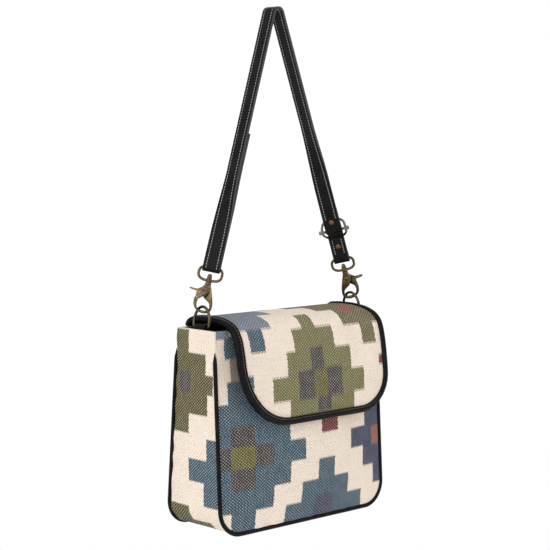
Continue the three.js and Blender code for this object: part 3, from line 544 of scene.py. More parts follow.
FRONT_FIELDS = [
    *stepped("blue", -92.5, 81.5, 23.3, (86.0, 64.0, 41.0, 16.5), "grey", "mustard", 15.5, 24.5),
    *stepped("blue", 27.0, -12.0, 22.6, (84.0, 60.0, 37.0, 13.0), None, None),
    ("navy", 11.0, 40.0, 3.0, 26.0),
    ("navy", 94.0, 160.0, 93.5, 116.5),
    ("navy", 68.0, 170.0, 71.0, 93.5),
    ("navy", 90.0, 160.0, 47.5, 71.0),
    ("navy", 108.5, 150.0, 25.5, 47.5),
    ("rust", 107.0, 127.0, 69.5, 91.0),
    ("crimson", 19.0, 45.5, 95.5, 118.0),
    ("blue", -111.0, -92.0, 187.5, 212.0),
    ("slate", -122.0, -104.0, 209.0, 230.0),
    ("sand", -104.5, -89.0, 163.0, 188.0),
    *stepped("olive", 30.0, 192.0, 20.0, (62.0, 46.0, 30.0, 14.0), "grey", "mustard", 10.0, 20.0),
]
BACK_FIELDS = [
    *stepped("olive", -66.0, 150.0, 23.3, (74.0, 56.0, 36.0, 14.0), "grey", "mustard", 12.0, 23.0),
    *stepped("blue", 48.0, 84.0, 23.3, (86.0, 64.0, 41.0, 16.5), "grey", "mustard", 15.5, 24.5),
    *stepped("navy", -92.0, 14.0, 22.6, (60.0, 44.0, 28.0, 12.0), None, "rust", 12.0),
    *stepped("blue", 128.0, 196.0, 22.6, (60.0, 44.0, 28.0, 12.0), "grey", None, 12.0, 20.0),
]
GUSSET_FIELDS = [
    ("moss", 10.5, 60.0, 192.5, 217.0),
    ("moss", -17.6, 60.0, 170.5, 192.5),
    ("moss", -28.2, 60.0, 149.5, 170.5),
    ("moss", -19.6, 60.0, 127.0, 149.5),
    ("moss", 9.6, 60.0, 105.5, 127.0),
    ("grey", 7.5, 25.5, 148.5, 172.0),
    ("blue", -60.0, -18.6, 79.0, 102.5),
    ("blue", -60.0, 10.0, 54.5, 79.0),
    ("blue", -60.0, -14.0, 29.5, 54.5),
    ("moss", 11.0, 60.0, 8.0, 26.5),
    ("moss", -18.0, 60.0, -14.0, 10.0),
    ("navy", 18.0, 34.0, -12.0, 8.0),
    ("moss", -40.0, 60.0, -40.0, -12.0),
    *stepped("blue", 6.0, -170.0, 23.0, (60.0, 40.0, 25.0, 12.0), "grey", "mustard", 8.0, 16.0),
    *stepped("moss", -10.0, -330.0, 23.0, (52.0, 40.0, 25.0, 12.0), "grey", "mustard", 8.0, 16.0),
]
FLAP_FIELDS = [
    ("olive", -8.5, 11.0, 61.0, 80.0),
    ("olive", -25.5, 36.0, 80.0, 104.0),
    ("olive", -39.0, 59.0, 104.0, 130.0),
    ("olive", -61.5, 78.0, 130.0, 156.0),
    ("olive", -36.5, 62.0, 156.0, 190.0),
    ("grey", -3.0, 16.5, 101.5, 125.5),
    ("grey", -23.6, 44.0, 125.5, 157.0),
    ("grey", 5.0, 26.0, 157.0, 172.0),
    ("mustard", 0.3, 20.8, 127.0, 156.0),
    ("slate", -160.0, -8.0, 0.0, 24.0),
    ("slate", -160.0, -30.0, 24.0, 50.0),
    ("slate", -160.0, -52.5, 50.0, 76.0),
    ("blue", -89.5, -68.0, 76.0, 100.5),
    ("faded", 33.0, 160.0, 33.0, 57.0),
    ("faded", 55.0, 160.0, 57.0, 82.0),
    ("faded", 80.5, 101.5, 82.0, 105.0),
    ("faded", 10.0, 160.0, 8.0, 33.0),
    ("pink", 69.0, 88.0, 44.0, 64.0),
    ("crimson", 104.0, 110.0, 119.0, 130.0),
    ("blue", -96.0, -88.5, 124.0, 138.0),
]


BARE_WARP = (0.56, 0.54, 0.46)
GROOVE_SHADE = (0.018, 0.015, 0.012)
LOOSE_HAIR = (0.38, 0.27, 0.22)
SPARE_DYES = {
    "slate": (0.185, 0.225, 0.290),
    "faded": (0.160, 0.135, 0.055),
    "pink": (0.380, 0.060, 0.085),
    "moss": (0.098, 0.082, 0.016),
    "sand": (0.330, 0.250, 0.210),
}
MAIN_DYES = ("cream", "blue", "olive", "grey", "mustard", "navy", "crimson", "rust")


def kilim(name, fields, tooth_share=1.0):
    """Flat-woven cloth: fields of colour, comb edges, warp specks, streaked dye and a woven surface."""
    wool = bpy.context.scene.bag_kilim
    colours = {dye: tuple(getattr(wool, dye)) for dye in MAIN_DYES} | SPARE_DYES
    tree = Tree(name)
    across, up, _ = tree.split(tree.coordinates("UV"))
    warp = tree.math("DIVIDE", across, wool.warp_pitch)
    weft = tree.math("DIVIDE", up, wool.weft_pitch)

    # Edges: a comb on the level ones and a step at each row on the upright ones
    comb = tree.math("GREATER_THAN", tree.math("FRACT", warp), 0.5)
    uneven = tree.math("MULTIPLY_ADD", tree.chance(warp), 0.5, 0.75)
    lift = tree.math("MULTIPLY", tree.math("SUBTRACT", comb, 0.5), wool.tooth * tooth_share)
    up_comb = tree.math("MULTIPLY_ADD", lift, uneven, up)
    row_chance = tree.chance(weft)
    step = tree.math("SUBTRACT", row_chance, 0.5)
    across_step = tree.math("MULTIPLY_ADD", step, 0.0012, across)

    colour = colours["cream"]
    dyed = 0.0
    for shade, left, right, bottom, top in fields:
        node = tree.nodes.new("ShaderNodeGroup")
        node.node_tree = field_group()
        tree.set(node.inputs[0], across_step)
        tree.set(node.inputs[1], up_comb)
        for index, value in enumerate((left, right, bottom, top)):
            node.inputs[index + 2].default_value = value / 1000.0
        colour = tree.blend(node.outputs[0], colour, colours[shade])
        dyed = tree.math("MAXIMUM", dyed, node.outputs[0])

    flat = tree.join(across, up)

    def stretched(x, y):
        return tree.stretch(flat, (x, y, 1.0))

    # Dye: streaks along the weft, clouds and fuzz
    streak = tree.fleck(stretched(45.0, 420.0), 3.0, 0.6)
    cloud = tree.fleck(stretched(38.0, 38.0), 2.0, 0.5)
    fuzz = tree.fleck(stretched(1500.0, 1500.0), 2.0, 0.6)
    light = tree.math("MULTIPLY_ADD", streak, 0.55, 0.55)
    light = tree.math("MULTIPLY_ADD", cloud, 0.30, light)
    dyed_light = tree.math("SUBTRACT", light, 0.02)
    plain_light = tree.math("MULTIPLY_ADD", light, 0.38, 0.63)
    strength = tree.nodes.new("ShaderNodeMix")
    strength.data_type = "FLOAT"
    tree.set(strength.inputs[0], dyed)
    tree.set(strength.inputs[2], plain_light)
    tree.set(strength.inputs[3], dyed_light)
    colour = tree.blend(1.0, colour, tree.join(*[strength.outputs[0]] * 3), "MULTIPLY")

    # Weave: bare warp shows in every other place of a row, with grooves between the yarns
    odd = tree.math("FLOORED_MODULO", tree.math("FLOOR", weft), 2.0)
    drift = tree.math("MULTIPLY_ADD", row_chance, 0.16, tree.math("MULTIPLY", warp, 0.5))
    paired = tree.math("MULTIPLY_ADD", odd, 0.5, drift)
    from_warp = tree.math("ABSOLUTE", tree.math("SUBTRACT", tree.math("FRACT", paired), 0.5))
    from_weft = tree.math("ABSOLUTE", tree.math("SUBTRACT", tree.math("FRACT", weft), 0.5))
    wide = tree.math("POWER", tree.math("MULTIPLY", from_warp, 2.1), 2.0)
    patch = tree.fleck(stretched(150.0, 90.0), 3.0, 0.6)
    distance = tree.math("SQRT", tree.math("ADD", wide, tree.math("POWER", from_weft, 2.0)))
    speck = tree.span(distance, 0.50, 0.20)
    bare = tree.math("MULTIPLY", tree.math("MULTIPLY", speck, dyed), tree.span(fuzz, 0.26, 0.60, 0.35, 0.95))
    bare = tree.math("MULTIPLY", bare, tree.span(patch, 0.34, 0.60, 0.50, 0.88))
    colour = tree.blend(bare, colour, BARE_WARP)
    # Painted shade: the grooves between weft rows and the gaps round each yarn are darkened towards GROOVE_SHADE,
    # more on dyed cloth.
    groove = tree.span(from_weft, 0.30, 0.50)
    between = tree.span(distance, 0.55, 1.0)
    deep = tree.math("MAXIMUM", tree.math("MULTIPLY", groove, 0.26), tree.math("MULTIPLY", between, 0.30))
    deep = tree.math("MULTIPLY", deep, tree.math("MULTIPLY_ADD", dyed, 0.62, 0.50))
    colour = tree.blend(deep, colour, GROOVE_SHADE)
    hairs = tree.fleck(stretched(900.0, 260.0), 2.0, 0.7)
    colour = tree.blend(tree.math("MULTIPLY", tree.span(hairs, 0.54, 0.70), 0.30), colour, LOOSE_HAIR)

    dome = tree.math("SUBTRACT", 1.0, tree.math("POWER", distance, 2.0))
    height = tree.math("MULTIPLY_ADD", fuzz, 0.35, dome)
    tree.raise_surface(height, 0.0010, 0.9)
    tree.shade(Base_Color=colour, Roughness=0.93, Sheen_Weight=0.03, Sheen_Roughness=0.6, Specular_IOR_Level=0.08)
    return tree.material


def leather(name, tint=1.0, roughness=0.46, grain=1.0, shine=0.08):
    skin = bpy.context.scene.bag_leather
    tree = Tree(name)
    size = 1.0 / (skin.grain * grain)
    wrinkle = tree.cells(tree.place(size))
    fine = tree.fleck(tree.place(size * 2.6), 3.0, 0.6)
    wear = tree.fleck(tree.place(60.0), 3.0, 0.6)
    black = tuple(value * tint for value in skin.black)
    worn = tuple(value * 1.8 * tint + 0.002 for value in skin.black)
    colour = tree.blend(tree.span(wear, 0.42, 0.72), black, worn)
    tree.shade(Base_Color=colour, Roughness=tree.math("MULTIPLY_ADD", wear, 0.22, roughness - 0.11))
    tree.raise_surface(tree.math("MULTIPLY_ADD", fine, 0.35, wrinkle), 0.00022, 0.55)
    tree.shade(Specular_IOR_Level=shine)
    return tree.material


def edge_paint(name):
    skin = bpy.context.scene.bag_leather
    tree = Tree(name)
    rub = tree.fleck(tree.place(300.0), 4.0, 0.65)
    low = tuple(value * 0.55 for value in skin.edge)
    colour = tree.blend(tree.span(rub, 0.35, 0.7), low, tuple(skin.edge))
    tree.shade(Base_Color=colour, Roughness=tree.math("MULTIPLY_ADD", rub, 0.25, 0.42))
    tree.raise_surface(rub, 0.00015, 0.5)
    return tree.material


def thread(name, colour):
    tree = Tree(name)
    ply = tree.fleck(tree.place(2600.0), 2.0, 0.6)
    low = tuple(value * 0.72 for value in colour)
    tree.shade(Base_Color=tree.blend(ply, low, tuple(colour)), Roughness=0.75)
    tree.raise_surface(ply, 0.0001, 0.5)
    return tree.material


def black_cloth(name):
    tree = Tree(name)
    x, y, z = tree.split(tree.place(1.0))
    across, up = (tree.math("SINE", tree.math("MULTIPLY", value, 9000.0)) for value in (tree.math("ADD", x, y), z))
    lint = tree.fleck(tree.place(900.0), 3.0, 0.7)
    colour = tree.blend(tree.span(lint, 0.45, 0.8), (0.010, 0.010, 0.012), (0.040, 0.040, 0.044))
    tree.shade(Base_Color=colour, Roughness=0.9)
    tree.raise_surface(tree.math("MULTIPLY", across, up), 0.0002, 0.5)
    tree.shade(Sheen_Weight=0.15)
    return tree.material


def aged_metal(name, bright, dark, roughness=0.30, reach=0.0034):
    """Worn plate: bright where hands rub it and dark patina in its hollows, with a painted highlight along its edges.
    """
    tree = Tree(name)
    cloud = tree.fleck(tree.place(420.0), 4.0, 0.62)
    scratch = tree.fleck(tree.place(260.0, 2200.0, 900.0), 3.0, 0.6)
    open_face = tree.span(tree.hollow(reach), 0.50, 0.99)
    share = tree.math("MULTIPLY", open_face, tree.span(cloud, 0.30, 0.60, 0.55, 1.0))
    middle = tuple(mix(a, b, 0.34) for a, b in zip(dark, bright))
    colour = tree.blend(share, dark, middle)
    colour = tree.blend(tree.math("MULTIPLY", share, tree.span(scratch, 0.46, 0.66)), colour, bright)
    # Painted highlight: edges of open faces are lightened towards a brighter brass, partly rubbed wear and partly a
    # highlight painted in.
    rim_highlight_and_wear = tuple(min(value * 2.1, 0.8) for value in bright)
    colour = tree.blend(tree.math("MULTIPLY", open_face, tree.span(tree.edges(0.0005), 0.990, 0.90)), colour, rim_highlight_and_wear)
    tree.shade(Base_Color=colour, Metallic=1.0)
    tree.shade(Roughness=tree.math("MULTIPLY_ADD", cloud, 0.26, tree.math("MULTIPLY_ADD", share, -0.14, roughness)))
    tree.raise_surface(tree.math("MULTIPLY_ADD", scratch, 0.4, cloud), 0.00006, 0.6)
    return tree.material


def steel(name, colour, roughness):
    tree = Tree(name)
    brush = tree.fleck(tree.place(300.0, 300.0, 4200.0), 3.0, 0.6)
    low = tuple(value * 0.75 for value in colour)
    tree.shade(Base_Color=tree.blend(brush, low, colour), Metallic=1.0)
    tree.shade(Roughness=tree.math("MULTIPLY_ADD", brush, 0.2, roughness))
    tree.raise_surface(brush, 0.00003, 0.5)
    return tree.material


# Shape of the bag

PUCKER_REACH = 9.0  # how far a seam's pucker runs into a panel
PUCKER_LENGTH = 4.1
SWELL_SIZE = 55.0  # size of the cloth's loose swells


def front_seam(z):
    return -30.0 - 11.0 * (1.0 - z / BAG_HEIGHT)


def back_seam(z):
    return 30.0 + 17.0 * (1.0 - z / BAG_HEIGHT)


def swell(u, z, most):
    share = max(z / BAG_HEIGHT, 0.0)
    return most * (1.0 - u * u) * (0.25 * share + math.sin(math.pi * min(share, 1.0) ** 0.8))


def outline_half(z, inset):
    radius = CORNER - inset
    below = CORNER - z
    straight = HALF_WIDTH - CORNER
    if below <= 0:
        return straight + radius
    return straight + math.sqrt(max(radius * radius - below * below, 0.0))


def panel_height(v, inset, top):
    """Heights of a panel's rows, closer together in the rounded corners."""
    radius = CORNER - inset
    if v < 0.3:
        return CORNER - radius * math.cos(v / 0.3 * math.pi / 2)
    return mix(CORNER, top, (v - 0.3) / 0.7)


def panel_piece(name, side, fields):
    """Front or back of the bag: woven cloth that swells between its seams."""
    inset = CLOTH + SEAM
    seam = front_seam if side < 0 else back_seam
    bulge = FRONT_BULGE if side < 0 else BACK_BULGE
    pucker = bpy.context.scene.bag_kilim.pucker * 1000.0
    top = BAG_HEIGHT

    def spot(u, v):
        z = panel_height(v, inset, top)
        share = math.sin(math.pi * (u - 0.5))
        x = share * outline_half(z, inset) * (-1 if side > 0 else 1)
        return x, z, share

    def place(u, v):
        x, z, share = spot(u, v)
        from_edge = min(outline_half(z, inset) - abs(x), z - inset, 60.0)
        near = math.exp(-max(from_edge, 0.0) / PUCKER_REACH)
        along = z if abs(share) > 0.8 else x
        wave = pucker * near * math.sin(along / PUCKER_LENGTH + 2.0 * ripple(x, z, 3.0, 40.0))
        loose = 0.9 * ripple(x, z, 7.0 + side, SWELL_SIZE) * (1.0 - near) * min(1.0, (top - z) / 30.0 + 0.2)
        y = seam(z) + side * (swell(share, z, bulge) + (wave + loose) * (1.0 - share ** 8))
        return metres(x, y, z)

    def flat(u, v):
        x, z, _ = spot(u, v)
        return x / 1000.0, z / 1000.0

    return sheet_from(name, 110, 120, CLOTH, kilim(f"{name} cloth", fields), place, flat)


def gusset_stations(count):
    """Places along the gusset's U from the left of the mouth to the right: x, z, outward x, outward z, run."""
    side = BAG_HEIGHT - CORNER
    bend = CORNER * math.pi / 2
    base = 2 * (HALF_WIDTH - CORNER)
    total = 2 * side + 2 * bend + base
    straight = HALF_WIDTH - CORNER
    stations = []
    for index in range(count + 1):
        run = total * index / count
        near = min(run, total - run)
        sign = -1.0 if run * 2 <= total else 1.0
        if near <= side:
            x, z, nx, nz = HALF_WIDTH, BAG_HEIGHT - near, 1.0, 0.0
        elif near <= side + bend:
            angle = (near - side) / CORNER
            nx, nz = math.cos(angle), -math.sin(angle)
            x, z = CORNER * nx + straight, CORNER * (1 + nz)
        else:
            x, z, nx, nz = straight - (near - side - bend), 0.0, 0.0, -1.0
        stations.append((sign * x, z, sign * nx, nz, run))
    return stations


def piping_room(below):
    if below < 0:
        return 0.0
    return 0.45 + mix(0.5, PIPING_RADIUS, ease(below, 0.0, 12.0)) + SEAM


def gusset_piece():
    """Band of cloth round the sides and the base."""
    count = 190
    stations = gusset_stations(count)
    pucker = bpy.context.scene.bag_kilim.pucker * 1000.0

    def place(u, v):
        x, z, nx, nz, run = stations[round(u * count)]
        room = piping_room(BAG_HEIGHT - PIPING_DROP - z)
        front, back = front_seam(z) + room, back_seam(z) - room
        across = 2.0 * (1.0 - v) - 1.0
        y = mix(front, back, (across + 1.0) / 2.0)
        share = z / BAG_HEIGHT
        bow = 2.0 * abs(nx) * math.sin(math.pi * share) * (1.0 - across * across)
        near = math.exp(-min(y - front, back - y) / 7.0)
        wave = 0.8 * pucker * near * math.sin(run / 4.3 + 2.0 * ripple(run, y, 2.0, 35.0))
        loose = 1.1 * ripple(run, y, 5.0, 42.0) * (1.0 - near) * min(1.0, z / 25.0 + 0.15)
        out = bow + (wave + loose) * min(1.0, (BAG_HEIGHT - z) / 10.0 + 0.1)
        return metres(x + nx * out, y, z + nz * out)

    def flat(u, v):
        x, z, _, _, run = stations[round(u * count)]
        room = piping_room(BAG_HEIGHT - PIPING_DROP - z)
        return mix(front_seam(z) + room, back_seam(z) - room, 1.0 - v) / 1000.0, (BAG_HEIGHT - run) / 1000.0

    cloth = kilim("Gusset cloth", GUSSET_FIELDS, 0.8)
    return sheet_from("gusset_cloth", count, 40, CLOTH, cloth, place, flat)


def piping_piece(name, side):
    seam = front_seam if side < 0 else back_seam
    inset = PIPING_RADIUS - CLOTH
    points = []
    radii = []
    for x, z, nx, nz, _ in gusset_stations(230):
        below = BAG_HEIGHT - PIPING_DROP - z
        if below < 0:
            continue
        radii.append(mix(0.35, PIPING_RADIUS, ease(below, 0.0, 12.0)) / PIPING_RADIUS)
        points.append(metres(x + nx * inset, seam(z) - side * 0.45, z + nz * inset))
    piece = wire_through(name, points, PIPING_RADIUS / 1000.0, False, 4, radii)
    paint(piece, leather(f"{name} leather", 1.0, 0.44))
    return piece


def lining_piece():
    """Loose black cloth inside the bag."""
    inset = CLOTH + 0.9
    top = BAG_HEIGHT - 1.0

    def place(u, v):
        z = panel_height(v, inset, top)
        reach = outline_half(z, inset)
        loose = 0.35 * ripple(u * 60.0, z, 4.0, 12.0)

        def wall(share, side):
            seam, bulge = (front_seam, FRONT_BULGE) if side < 0 else (back_seam, BACK_BULGE)
            return seam(z) + side * (swell(share, z, bulge) - inset - 0.3 - loose)

        half, turn = divmod(u * 4.0, 2.0)
        ahead = 1.0 if half % 2 == 0 else -1.0
        if turn < 1.5:
            share = ahead * math.sin(math.pi * (turn / 1.5 - 0.5))
            return metres(share * reach, wall(share, -ahead), z)
        return metres(ahead * reach, mix(wall(ahead, -ahead), wall(ahead, ahead), (turn - 1.5) / 0.5), z)

    piece = laid_grid("lining_cloth", 160, 60, place)
    fuse(piece, 2e-5)
    pick(piece)
    bpy.ops.object.mode_set(mode="EDIT")
    bpy.ops.mesh.select_all(action="DESELECT")
    bpy.ops.object.mode_set(mode="OBJECT")
    lowest = min(vertex.co.z for vertex in piece.data.vertices)
    for edge in piece.data.edges:
        edge.select = all(piece.data.vertices[index].co.z < lowest + 1e-5 for index in edge.vertices)
    bpy.ops.object.mode_set(mode="EDIT")
    bpy.ops.mesh.fill()
    bpy.ops.mesh.select_all(action="SELECT")
    bpy.ops.mesh.normals_make_consistent(inside=False)
    bpy.ops.object.mode_set(mode="OBJECT")
    thicken(piece, 0.0008)
    smooth(piece, 50.0)
    paint(piece, black_cloth("Lining cloth"))
    return piece


# Shape of the flap


def bend_line(points, share):
    """Centripetal curve through points of y and z, at a share of its length in points."""
    last = len(points) - 1
    index = min(int(share * last), last - 1)
    weight = share * last - index
    before = points[index - 1] if index > 0 else tuple(2 * a - b for a, b in zip(points[0], points[1]))
    after = points[index + 2] if index + 2 <= last else tuple(2 * a - b for a, b in zip(points[-1], points[-2]))
    here, there = points[index], points[index + 1]
    steps = [math.dist(a, b) ** 0.5 for a, b in ((before, here), (here, there), (there, after))]
    made = []
    for x0, x1, x2, x3 in zip(before, here, there, after):
        leave = ((x1 - x0) / steps[0] - (x2 - x0) / (steps[0] + steps[1]) + (x2 - x1) / steps[1]) * steps[1]
        meet = ((x2 - x1) / steps[1] - (x3 - x1) / (steps[1] + steps[2]) + (x3 - x2) / steps[2]) * steps[1]
        made.append(x1 + weight * (leave + weight * (
            -3 * x1 + 3 * x2 - 2 * leave - meet + weight * (2 * x1 - 2 * x2 + leave + meet))))
    return tuple(made)


FLAP_CURVE = [bend_line(FLAP_LINE, index / 600) for index in range(601)]
FLAP_RUNS = [0.0]
for first, second in zip(FLAP_CURVE, FLAP_CURVE[1:]):
    FLAP_RUNS.append(FLAP_RUNS[-1] + math.dist(first, second))
FLAP_LENGTH = FLAP_RUNS[-1]


def flap_spot(x, run, out):
    """A point on the flap's bent middle layer, moved out along its normal."""
    run = min(max(run, 0.0), FLAP_LENGTH)
    low, high = 0, 600
    while high - low > 1:
        middle = (low + high) // 2
        low, high = (middle, high) if FLAP_RUNS[middle] <= run else (low, middle)
    share = (run - FLAP_RUNS[low]) / (FLAP_RUNS[high] - FLAP_RUNS[low])
    (y0, z0), (y1, z1) = FLAP_CURVE[low], FLAP_CURVE[high]
    length = math.dist((y0, z0), (y1, z1))
    ty, tz = (y1 - y0) / length, (z1 - z0) / length
    return x, mix(y0, y1, share) + tz * out, mix(z0, z1, share) - ty * out


def flap_reach(run, side, inset):
    front, corner = FLAP_CORNERS[side]
    back = mix(112.0, 110.0, ease(run, 2.0, 20.0))
    reach = mix(back, front, ease(run, 50.0, 84.0)) - inset
    short = FLAP_LENGTH - inset - run
    radius = corner - inset
    if short >= radius:
        return reach
    return reach - radius + math.sqrt(max(radius ** 2 - (radius - short) ** 2, 0.0))


def flap_run(v, inset):
    """Rows of the flap, closer together towards its rounded lower edge."""
    straight = FLAP_LENGTH - FLAP_CORNERS["left"][1]
    if v < 0.55:
        return straight * v / 0.55
    return straight + (FLAP_CORNERS["left"][1] - inset) * math.sin((v - 0.55) / 0.45 * math.pi / 2)


def flap_sheet(name, inset, out, thickness, material):
    def spot(u, v):
        run = flap_run(1.0 - v, inset)
        left, right = -flap_reach(run, "left", inset), flap_reach(run, "right", inset)
        return mix(left, right, (math.sin(math.pi * (u - 0.5)) + 1) / 2), run

    def place(u, v):
        x, run = spot(u, v)
        loose = 0.7 * ripple(x, run, 11.0, 60.0) * ease(run, 20.0, 60.0) * ease(FLAP_LENGTH - run, 6.0, 40.0)
        loose *= ease(110.0 - abs(x), 0.0, 30.0)
        return metres(*flap_spot(x, run, out + loose))

    def flat(u, v):
        x, run = spot(u, v)
        return x / 1000.0, run / 1000.0

    return sheet_from(name, 110, 110, thickness, material, place, flat)


def flap_edge(count):
    """The flap's edge from the back seam down the left, along the bottom and up the right, evenly spaced."""
    def side(name, sign):
        front, corner = FLAP_CORNERS[name]
        straight = [i * (FLAP_LENGTH - corner) / 60 for i in range(60)]
        points = [(sign * flap_reach(run, name, 0.0), run) for run in straight]
        for index in range(41):
            angle = math.pi / 2 * index / 40
            points.append((sign * (front - corner + corner * math.cos(angle)),
                           FLAP_LENGTH - corner + corner * math.sin(angle)))
        return points

    line = side("left", -1) + side("right", 1)[::-1]
    runs = [0.0]
    for a, b in zip(line, line[1:]):
        runs.append(runs[-1] + math.dist(a, b))
    spread = []
    index = 0
    for step in range(count + 1):
        target = runs[-1] * step / count
        while index < len(line) - 2 and runs[index + 1] < target:
            index += 1
        share = (target - runs[index]) / max(runs[index + 1] - runs[index], 1e-9)
        share = min(max(share, 0.0), 1.0)
        spread.append(tuple(mix(a, b, share) for a, b in zip(line[index], line[index + 1])))
    outward = []
    for step in range(count + 1):
        a, b = spread[max(step - 1, 0)], spread[min(step + 1, count)]
        away = Vector((-(b[1] - a[1]), b[0] - a[0]))
        outward.append(away.normalized())
    return spread, outward


BINDING_HALF = 3.0
CHANNEL = 6.2  # flap's edge to the stitches beside the bead


def binding_piece():
    """Leather folded over the flap's edge, with a bead where its inner edge is turned under."""
    count = 220
    spread, outward = flap_edge(count)
    bead = bpy.context.scene.bag_leather.bead * 1000.0
    half = BINDING_HALF
    ring = [(-8.4, 1.9), (-8.6, half - 0.2), (-8.3, half + bead * 0.75), (-7.6, half + bead),
            (-6.9, half + bead * 0.6), (-6.4, half - 0.15), (-6.0, half - 0.35), (-5.4, half + 0.1),
            (-4.0, half + 0.5), (-2.4, half + 0.45),
            (-0.9, half - 0.2), (0.0, half * 0.55), (0.25, 0.0), (0.0, -half * 0.55), (-0.9, -half + 0.2),
            (-2.4, -half - 0.35), (-4.6, -half - 0.4), (-6.8, -half - 0.1), (-8.2, -half), (-8.4, -2.4),
            (-8.2, -2.05), (-2.0, -2.05), (-1.1, -1.2), (-1.1, 1.2), (-2.0, 2.05), (-7.8, 2.05)]
    sides = len(ring)

    def place(u, v):
        step = round(u * count)
        out, up = ring[round(v * sides) % sides]
        (x, run), away = spread[step], outward[step]
        soft = 0.10 * ripple(step * 2.0, out, 9.0, 14.0)
        return metres(*flap_spot(x + away.x * out, max(run + away.y * out, 0.0), up + math.copysign(soft, up)))

    def flat(u, v):
        return u * 0.53, v * 0.03

    piece = tube_from("flap_binding_leather", count, sides, 60.0, place, flat)
    paint(piece, leather("Binding leather", 1.0, 0.34))
    return piece


def binding_stitches():
    """Dark stitches in the channel beside the bead."""
    stitches = bpy.context.scene.bag_stitches
    shape = stitch_shape(stitches.length, stitches.radius * 0.8)
    spread, outward = flap_edge(168)
    places = []
    for step in range(3, 166):
        (x, run), away = spread[step], outward[step]
        (x1, run1), away1 = spread[step + 1], outward[step + 1]
        channel = x - away.x * CHANNEL, run - away.y * CHANNEL
        near = metres(*flap_spot(*channel, BINDING_HALF - 0.15))
        far = metres(*flap_spot(x1 - away1.x * CHANNEL, run1 - away1.y * CHANNEL, BINDING_HALF - 0.15))
        up = metres(*flap_spot(*channel, BINDING_HALF + 0.85)) - near
        along = (far - near).normalized()
        up = (up - along * up.dot(along)).normalized()
        places.append(stitch_place((near + far) / 2, along, up))
    piece = rows_of("binding_stitches", shape, places)
    drop_object(shape)
    paint(piece, thread("Binding thread", tuple(stitches.dark)))
    return piece


# Shape of the strap

RING_BAR = (115.5, 219.6)
RING_LEAN = 2.6
RING_HELD = 22.2
EYE_HALF_WIDTH = 12.8
EYE_HALF_HEIGHT = 7.6
EYE_BOTTOM = 1.9
EYE_SQUARENESS = 2.8
EYE_TOP = 17.1
RING_WIRE = 0.00157  # metres, as the next
EYE_WIRE = 0.00154
HOOK_REACH = 26.6
FOLD_RADIUS = 6.5
STRAP_WIDTH = 19.0
THICK = 3.2
SKIVED = 2.4
EYE_FOLD = 3.0
BAR_FOLD = 2.5
BAR_ABOVE_EYE = 35.0
TURNED_BACK = 150.0
BILLET_BACK = 26.0
END_TWIST = 40.0
FOLD_CENTRE = Vector((-10.0, 0.0, STRAP_TOP - THICK / 2 - FOLD_RADIUS))


class Leg:
    """One straight leg of the strap, from the top fold down to a hook's eye."""

    def __init__(self, side):
        rise = math.sqrt(RING_HELD ** 2 - RING_LEAN ** 2)
        held = Vector((side * (RING_BAR[0] - RING_LEAN), 0.0, RING_BAR[1] + rise))
        reach = held - FOLD_CENTRE
        distance = math.hypot(reach.x, reach.z)
        spread = math.atan2(abs(reach.x), -reach.z) - math.asin(FOLD_RADIUS / distance)
        self.side = side
        self.spread = spread
        self.down = Vector((side * math.sin(spread), 0.0, -math.cos(spread)))
        self.out = Vector((side * math.cos(spread), 0.0, math.sin(spread)))
        self.top = FOLD_CENTRE + self.out * FOLD_RADIUS
        self.length = math.sqrt(distance ** 2 - FOLD_RADIUS ** 2) - (EYE_TOP + HOOK_REACH)
        self.turns = (110.0, 20.0) if side < 0 else (165.0, 65.0)

    def frame(self, along):
        twist = math.radians(-END_TWIST) * ease(along, self.length - self.turns[0], self.length - self.turns[1])
        turn = Quaternion(self.down, twist)
        return turn @ Vector((0.0, -1.0, 0.0)), turn @ self.out, self.top + self.down * along

    def layer(self, along, offset, thickness):
        across, out, centre = self.frame(along)
        return centre + out * offset, across, thickness


LEFT = Leg(-1)
RIGHT = Leg(1)
DROOP_SHARE = 1.0 - (1.0 - (STRAP_WIDTH / 2 / EYE_HALF_WIDTH) ** EYE_SQUARENESS) ** (1 / EYE_SQUARENESS)
EYE_DROOP = EYE_HALF_HEIGHT * DROOP_SHARE + 0.3


def fold(leg, along, middle, radius, thickness):
    made = []
    for index in range(17):
        angle = math.pi * index / 16
        made.append(leg.layer(along + radius * math.sin(angle), middle - radius * math.cos(angle), thickness))
    return made


def main_route():
    """Stations of the long strap: turned-back end, left eye, left leg, top fold, right leg, buckle's bar."""
    route = []
    start = LEFT.length - TURNED_BACK
    inner = -(THICK + SKIVED) / 2 - 0.3
    spots = [mix(start, LEFT.length, i / 30) for i in range(30)]

    def ends(along):
        return ease(along, LEFT.length - 60.0, LEFT.length)

    for along in spots:
        route.append(LEFT.layer(along, mix(inner, -EYE_FOLD, ends(along)), SKIVED))
    route.extend(fold(LEFT, LEFT.length + EYE_DROOP, 0.0, EYE_FOLD, SKIVED))
    for along in reversed(spots):
        thin = mix(THICK, SKIVED, ease(along, LEFT.length - 40.0, LEFT.length - 10.0))
        route.append(LEFT.layer(along, EYE_FOLD * ends(along), thin))
    for index in range(7, 0, -1):
        route.append(LEFT.layer(start * (index - 1) / 7, 0.0, THICK))
    sweep = math.pi - LEFT.spread - RIGHT.spread
    for index in range(1, 16):
        angle = math.pi - LEFT.spread - sweep * index / 16
        point = FOLD_CENTRE + Vector((math.cos(angle), 0.0, math.sin(angle))) * FOLD_RADIUS
        route.append((point, Vector((0.0, -1.0, 0.0)), THICK))
    bar = RIGHT.length - BAR_ABOVE_EYE
    for index in range(25):
        along = mix(0.0, bar - 20.0, index / 24)
        route.append(RIGHT.layer(along, -4.5 * ease(along, bar - 80.0, bar - 20.0), THICK))
    route.extend(RIGHT.layer(bar - back, -4.5, thin) for back, thin in ((12.0, 3.04), (6.0, 2.24)))
    route.extend(fold(RIGHT, bar, -2.0, BAR_FOLD, 1.6))
    tail = ((4.0, -0.65), (7.5, -1.8), (12.5, -1.8), (18.0, -1.8))
    route.extend(RIGHT.layer(bar - back, offset, 1.6) for back, offset in tail)
    return route


